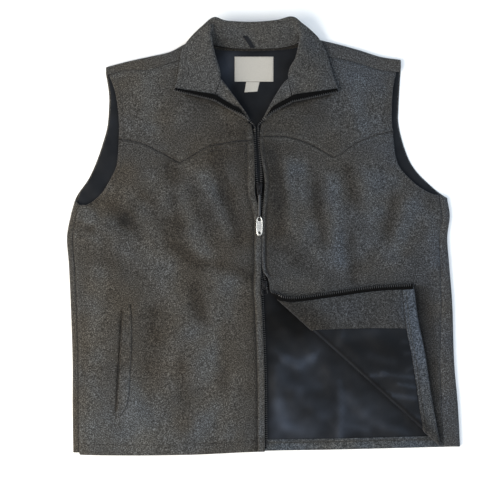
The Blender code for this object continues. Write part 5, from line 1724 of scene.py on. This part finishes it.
def build_collar():
    """Collar from tip to tip, and the lapels that carry on from it down the front edges."""
    sections = COLLAR_LEFT + COLLAR_RIGHT
    lofted("collar", sections, 12, 46, -1)
    lofted("lapel_left", LAPEL_LEFT, 14, 26, 1)
    lofted("lapel_right", LAPEL_RIGHT, 14, 26, -1)
    STITCHES.on_loft(sections, (0.42, len(sections) - 1.42), 0.9, DOUBLE_WOOL / 2)


def build_zips():
    """Tapes and teeth of both sides."""
    for side, start in (("left", 0.0), ("right", TOOTH_PITCH / 2)):
        teeth("teeth_" + side, *tape("zip_" + side, zip_pairs(side)), start)


class Shader:
    """A new material, with short ways to add nodes and join them."""

    def __init__(self, name):
        self.material = bpy.data.materials.new(name)
        self.material.use_nodes = True
        self.nodes = self.material.node_tree.nodes
        self.link = self.material.node_tree.links.new
        self.inputs = self.nodes["Principled BSDF"].inputs
        self.where = self.add("ShaderNodeTexCoord").outputs["Object"]

    def add(self, kind, **values):
        """New node, with values for its sockets, or for its settings where it has no such socket."""
        node = self.nodes.new(kind)
        for key, value in values.items():
            if key in node.inputs:
                node.inputs[key].default_value = value
            else:
                setattr(node, key, value)
        return node

    def noise(self, scale, detail=3.0, roughness=0.6):
        node = self.add("ShaderNodeTexNoise", Scale=scale, Detail=detail, Roughness=roughness)
        self.link(self.where, node.inputs["Vector"])
        return node.outputs["Fac"]

    def ramp(self, factor, stops):
        node = self.add("ShaderNodeValToRGB")
        for element, (position, colour) in zip(node.color_ramp.elements, (stops[0], stops[-1])):
            element.position, element.color = position, (*colour, 1)
        for position, colour in stops[1:-1]:
            node.color_ramp.elements.new(position).color = (*colour, 1)
        self.link(factor, node.inputs["Fac"])
        return node.outputs["Color"]

    def times(self, colour, factor, stops):
        """A colour times the colours of a ramp."""
        node = self.add("ShaderNodeMix", data_type="RGBA", blend_type="MULTIPLY", Factor=1.0)
        self.link(colour, node.inputs[6])
        self.link(self.ramp(factor, stops), node.inputs[7])
        return node.outputs[2]

    def ranged(self, value, low, high, to_low=0.0, to_high=1.0):
        """A number moved from one range to another."""
        node = self.add("ShaderNodeMapRange")
        for key, number in (("From Min", low), ("From Max", high), ("To Min", to_low), ("To Max", to_high)):
            node.inputs[key].default_value = number
        self.link(value, node.inputs["Value"])
        return node.outputs["Result"]

    def tone(self):
        """The number on each point of a mesh, mostly painted light and shade, moved to 0 for darkest and 1
        for palest.
        """
        return self.ranged(self.add("ShaderNodeAttribute", attribute_name="tone").outputs["Fac"], -1.0, 1.0)

    def bump(self, height, strength, distance, over=None):
        node = self.add("ShaderNodeBump", Strength=strength, Distance=distance)
        self.link(height, node.inputs["Height"])
        if over:
            self.link(over, node.inputs["Normal"])
        return node.outputs["Normal"]

    def wave(self, where, **values):
        node = self.add("ShaderNodeTexWave", **values)
        self.link(where, node.inputs["Vector"])
        return node.outputs["Fac"]


def grey(value, warm=0.0):
    """A grey, a little warm above zero and cool below."""
    return (value * (1 + warm), value, value * (1 - warm))


def scaled(colour, share):
    return tuple(c * share for c in colour)


def wool_look(name, level, warm, highlight_coolness):
    """Felted melange wool: dark and light fibres, soft blotches, a napped bump and a faint sheen, with
    painted light and shade from each point's tone and a painted warm-to-cool light from left to right.
    """
    look = Shader(name)
    colour = look.ramp(look.noise(560, 2.5, 0.75), [
        (0.36, grey(level * 0.25, 0.04)), (0.45, grey(level * 0.62, warm)), (0.53, grey(level * 1.1, warm)),
        (0.61, grey(level * 2.0, 0.0)), (0.70, grey(level * 3.0, -0.03)),
    ])
    colour = look.times(colour, look.noise(230, 2.0), [(0.32, grey(0.86)), (0.68, grey(1.16))])
    fibres = look.noise(1500, 1.5)
    colour = look.times(colour, fibres, [(0.3, grey(0.62)), (0.7, grey(1.4))])
    colour = look.times(colour, look.noise(11, 2.0, 0.55), [
        (0.36, (1.05, 1.0, 0.93)), (0.5, (1.0, 1.0, 1.0)), (0.62, (0.96, 1.0, 1.07)),
    ])
    # Painted light and shade from each point's tone: darker and warmer in painted shade, paler and cooler in
    # painted highlights
    colour = look.times(colour, look.tone(), [
        (0.0, (0.22, 0.21, 0.20)), (0.28, (0.58, 0.54, 0.49)), (0.5, (1.0, 1.0, 1.0)),
        (0.72, (1.2 - highlight_coolness, 1.28, 1.4 + highlight_coolness)), (1.0, (1.5, 1.64, 1.8)),
    ])
    # Painted light across the vest: warmer light at its left, cooler light at its right
    split = look.add("ShaderNodeSeparateXYZ")
    look.link(look.where, split.inputs["Vector"])
    colour = look.times(colour, look.ranged(split.outputs["X"], -0.3, 0.3), [
        (0.0, (1.06, 1.0, 0.90)), (0.5, (1.0, 1.0, 0.98)), (1.0, (0.96, 1.0, 1.07)),
    ])
    look.link(colour, look.inputs["Base Color"])
    look.inputs["Roughness"].default_value = 0.94
    look.inputs["Specular IOR Level"].default_value = 0.18
    look.inputs["Sheen Weight"].default_value = 0.16
    look.inputs["Sheen Roughness"].default_value = 0.42
    look.inputs["Sheen Tint"].default_value = (0.82, 0.88, 1.0, 1.0)
    nap = look.bump(look.noise(330, 4.0, 0.7), 0.55, 0.0011)
    look.link(look.bump(fibres, 0.5, 0.0006, nap), look.inputs["Normal"])
    return look.material


def satin_look(name, colour, roughness):
    """Smooth twill satin: fine diagonal ribs, soft colour drift that is partly random tone and partly a
    painted sheen in patches, a broad gloss, and painted sheen and shade from each point's tone.
    """
    look = Shader(name)
    drift = look.ramp(look.noise(14, 3.0, 0.5), [(0.35, scaled(colour, 0.72)), (0.65, scaled(colour, 1.35))])
    tone = look.tone()
    # Painted sheen on the creases and painted shade between them, from each point's tone
    painted_sheen_by_tone = [
        (0.0, (0.12, 0.11, 0.11)), (0.5, (1.0, 1.0, 1.0)), (0.75, (2.0, 2.1, 2.25)), (1.0, (3.0, 3.2, 3.5)),
    ]
    look.link(look.times(drift, tone, painted_sheen_by_tone), look.inputs["Base Color"])
    glossier = look.add("ShaderNodeMath", operation="MULTIPLY_ADD", use_clamp=True)
    look.link(tone, glossier.inputs[0])
    glossier.inputs[1].default_value = -0.3
    uneven = look.ranged(look.noise(40, 2.0), 0.0, 1.0, roughness - 0.07, roughness + 0.09)
    look.link(uneven, glossier.inputs[2])
    look.link(glossier.outputs["Value"], look.inputs["Roughness"])
    look.inputs["Specular IOR Level"].default_value = 0.08
    look.inputs["Sheen Weight"].default_value = 0.02
    look.inputs["Sheen Tint"].default_value = (0.7, 0.82, 1.0, 1.0)
    turned = look.add("ShaderNodeMapping", Rotation=(0.0, 0.0, math.radians(63)))
    look.link(look.where, turned.inputs["Vector"])
    ribs = look.wave(turned.outputs["Vector"], Scale=260.0, Distortion=0.6)
    weave = look.bump(ribs, 0.08, 0.0003)
    look.link(look.bump(look.noise(17, 2.0, 0.38), 0.9, 0.011, weave), look.inputs["Normal"])
    return look.material


def woven_look(name, colour, roughness, rib, gloss=0.3, drift=(120, 0.75, 1.25)):
    """Narrow woven goods: fine ribs one way and threads the other."""
    look = Shader(name)
    dark, light = (tuple(min(c, 0.9) for c in scaled(colour, share)) for share in drift[1:])
    look.link(look.ramp(look.noise(drift[0]), [(0.3, dark), (0.7, light)]), look.inputs["Base Color"])
    look.inputs["Roughness"].default_value = roughness
    look.inputs["Specular IOR Level"].default_value = gloss
    both = look.add("ShaderNodeMath", operation="ADD")
    look.link(look.wave(look.where, Scale=rib, Distortion=0.4), both.inputs[0])
    look.link(look.wave(look.where, Scale=rib * 1.4, Distortion=0.4, bands_direction="Y"), both.inputs[1])
    look.link(look.bump(both.outputs["Value"], 0.35, 0.0004), look.inputs["Normal"])
    return look.material


def metal_look(name, colour, roughness, metallic, wear):
    """Cast metal with slightly uneven polish and small dents."""
    look = Shader(name)
    worn = look.ramp(look.noise(420), [(0.36, scaled(colour, wear)), (0.6, colour)])
    look.link(worn, look.inputs["Base Color"])
    uneven = look.ranged(look.noise(900, 2.0), 0.0, 1.0, roughness * 0.7, roughness * 1.4)
    look.link(uneven, look.inputs["Roughness"])
    look.inputs["Metallic"].default_value = metallic
    look.link(look.bump(look.noise(340, 2.0), 0.4, 0.0004), look.inputs["Normal"])
    return look.material


def make_looks():
    LOOKS["wool"] = wool_look("wool", 0.0375, 0.04, 0.02)
    # A copy of the same wool for the right side, darker and cooler as painted light
    LOOKS["wool_right"] = wool_look("wool_right", 0.035, 0.01, 0.03)
    LOOKS["collar_wool"] = wool_look("collar_wool", 0.039, 0.0, 0.02)
    LOOKS["facing_wool"] = wool_look("facing_wool", 0.027, 0.0, 0.02)
    LOOKS["hem_wool"] = wool_look("hem_wool", 0.040, -0.06, 0.06)
    LOOKS["lining"] = satin_look("lining", (0.0090, 0.0102, 0.0128), 0.64)
    LOOKS["tape"] = woven_look("zip_tape", (0.0022, 0.0022, 0.0023), 0.85, 320.0, 0.06)
    LOOKS["teeth"] = woven_look("zip_teeth", (0.013, 0.013, 0.014), 0.34, 60.0, 0.6)
    LOOKS["thread"] = woven_look("thread", (0.024, 0.024, 0.025), 0.65, 900.0)
    LOOKS["label"] = woven_look("label", (0.395, 0.378, 0.345), 0.75, 520.0, 0.3, (900, 0.93, 1.06))
    LOOKS["label_thread"] = woven_look("label_thread", (0.5, 0.49, 0.45), 0.7, 900.0)
    LOOKS["black_metal"] = metal_look("black_metal", (0.02, 0.02, 0.022), 0.24, 0.75, 0.6)
    LOOKS["silver"] = metal_look("silver", (0.86, 0.85, 0.81), 0.22, 1.0, 0.6)


def add_object(name, data):
    made = bpy.data.objects.new(name, data)
    bpy.context.scene.collection.objects.link(made)
    return made


def area_light(name, place, size, energy, colour):
    """A soft light aimed at the middle of the vest."""
    data = bpy.data.lights.new(name, "AREA")
    data.size, data.energy, data.color = size, energy, colour
    made = add_object(name, data)
    made.location = place
    made.rotation_euler = (-Vector(place)).to_track_quat("-Z", "Y").to_euler()


def build_stage():
    """Pale floor, soft light and a camera straight above the vest."""
    mesh = bpy.data.meshes.new("floor")
    corners = [(-1, -1), (1, -1), (1, 1), (-1, 1)]
    mesh.from_pydata([(u * FLOOR_HALF, v * FLOOR_HALF, 0) for u, v in corners], [], [(0, 1, 2, 3)])
    floor = add_object("floor", mesh)
    floor.location.z = FLOOR_DROP
    look = Shader("floor")
    look.link(look.ramp(look.noise(3.0), [(0.3, grey(0.95)), (0.7, grey(0.98))]), look.inputs["Base Color"])
    look.inputs["Roughness"].default_value = 0.9
    mesh.materials.append(look.material)
    area_light("key", (-1.6, -0.8, 1.45), 2.3, 88, (1.0, 0.93, 0.82))
    area_light("fill", (1.6, 0.4, 1.9), 2.2, 30, (0.66, 0.83, 1.0))
    world = bpy.data.worlds.new("studio")
    world.use_nodes = True
    sky = world.node_tree.nodes["Background"].inputs
    sky["Color"].default_value = (0.93, 0.96, 1.0, 1.0)
    sky["Strength"].default_value = 0.68
    bpy.context.scene.world = world
    data = bpy.data.cameras.new("camera")
    data.lens, data.sensor_width, data.clip_end = LENS, SENSOR, 100.0
    camera = add_object("camera", data)
    camera.location = (VIEW_CENTRE[0] * MM, VIEW_CENTRE[1] * MM, VIEW_WIDTH * MM * LENS / SENSOR)
    bpy.context.scene.camera = camera
    bpy.context.scene.view_settings.view_transform = "Standard"


def main():
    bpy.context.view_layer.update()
    make_looks()
    build_back()
    build_fronts()
    flap_edge = build_flap()
    build_collar()
    build_zips()
    teeth("teeth_flap", *flap_edge)
    build_slider("slider_top", SLIDER_TOP)
    build_slider("slider_bottom", SLIDER_BOTTOM)
    build_top_pull()
    build_bottom_pull()
    build_label()
    build_hanger_loop()
    build_pocket()
    STITCHES.build("stitches", "thread")
    build_stage()
    bpy.context.view_layer.update()


STITCHES = Threads()
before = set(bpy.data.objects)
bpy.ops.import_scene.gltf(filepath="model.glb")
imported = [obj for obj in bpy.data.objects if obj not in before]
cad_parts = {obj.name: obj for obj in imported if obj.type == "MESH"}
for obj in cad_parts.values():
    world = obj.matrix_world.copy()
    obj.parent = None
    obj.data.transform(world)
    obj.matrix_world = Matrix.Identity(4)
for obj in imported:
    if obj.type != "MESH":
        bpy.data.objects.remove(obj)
main()
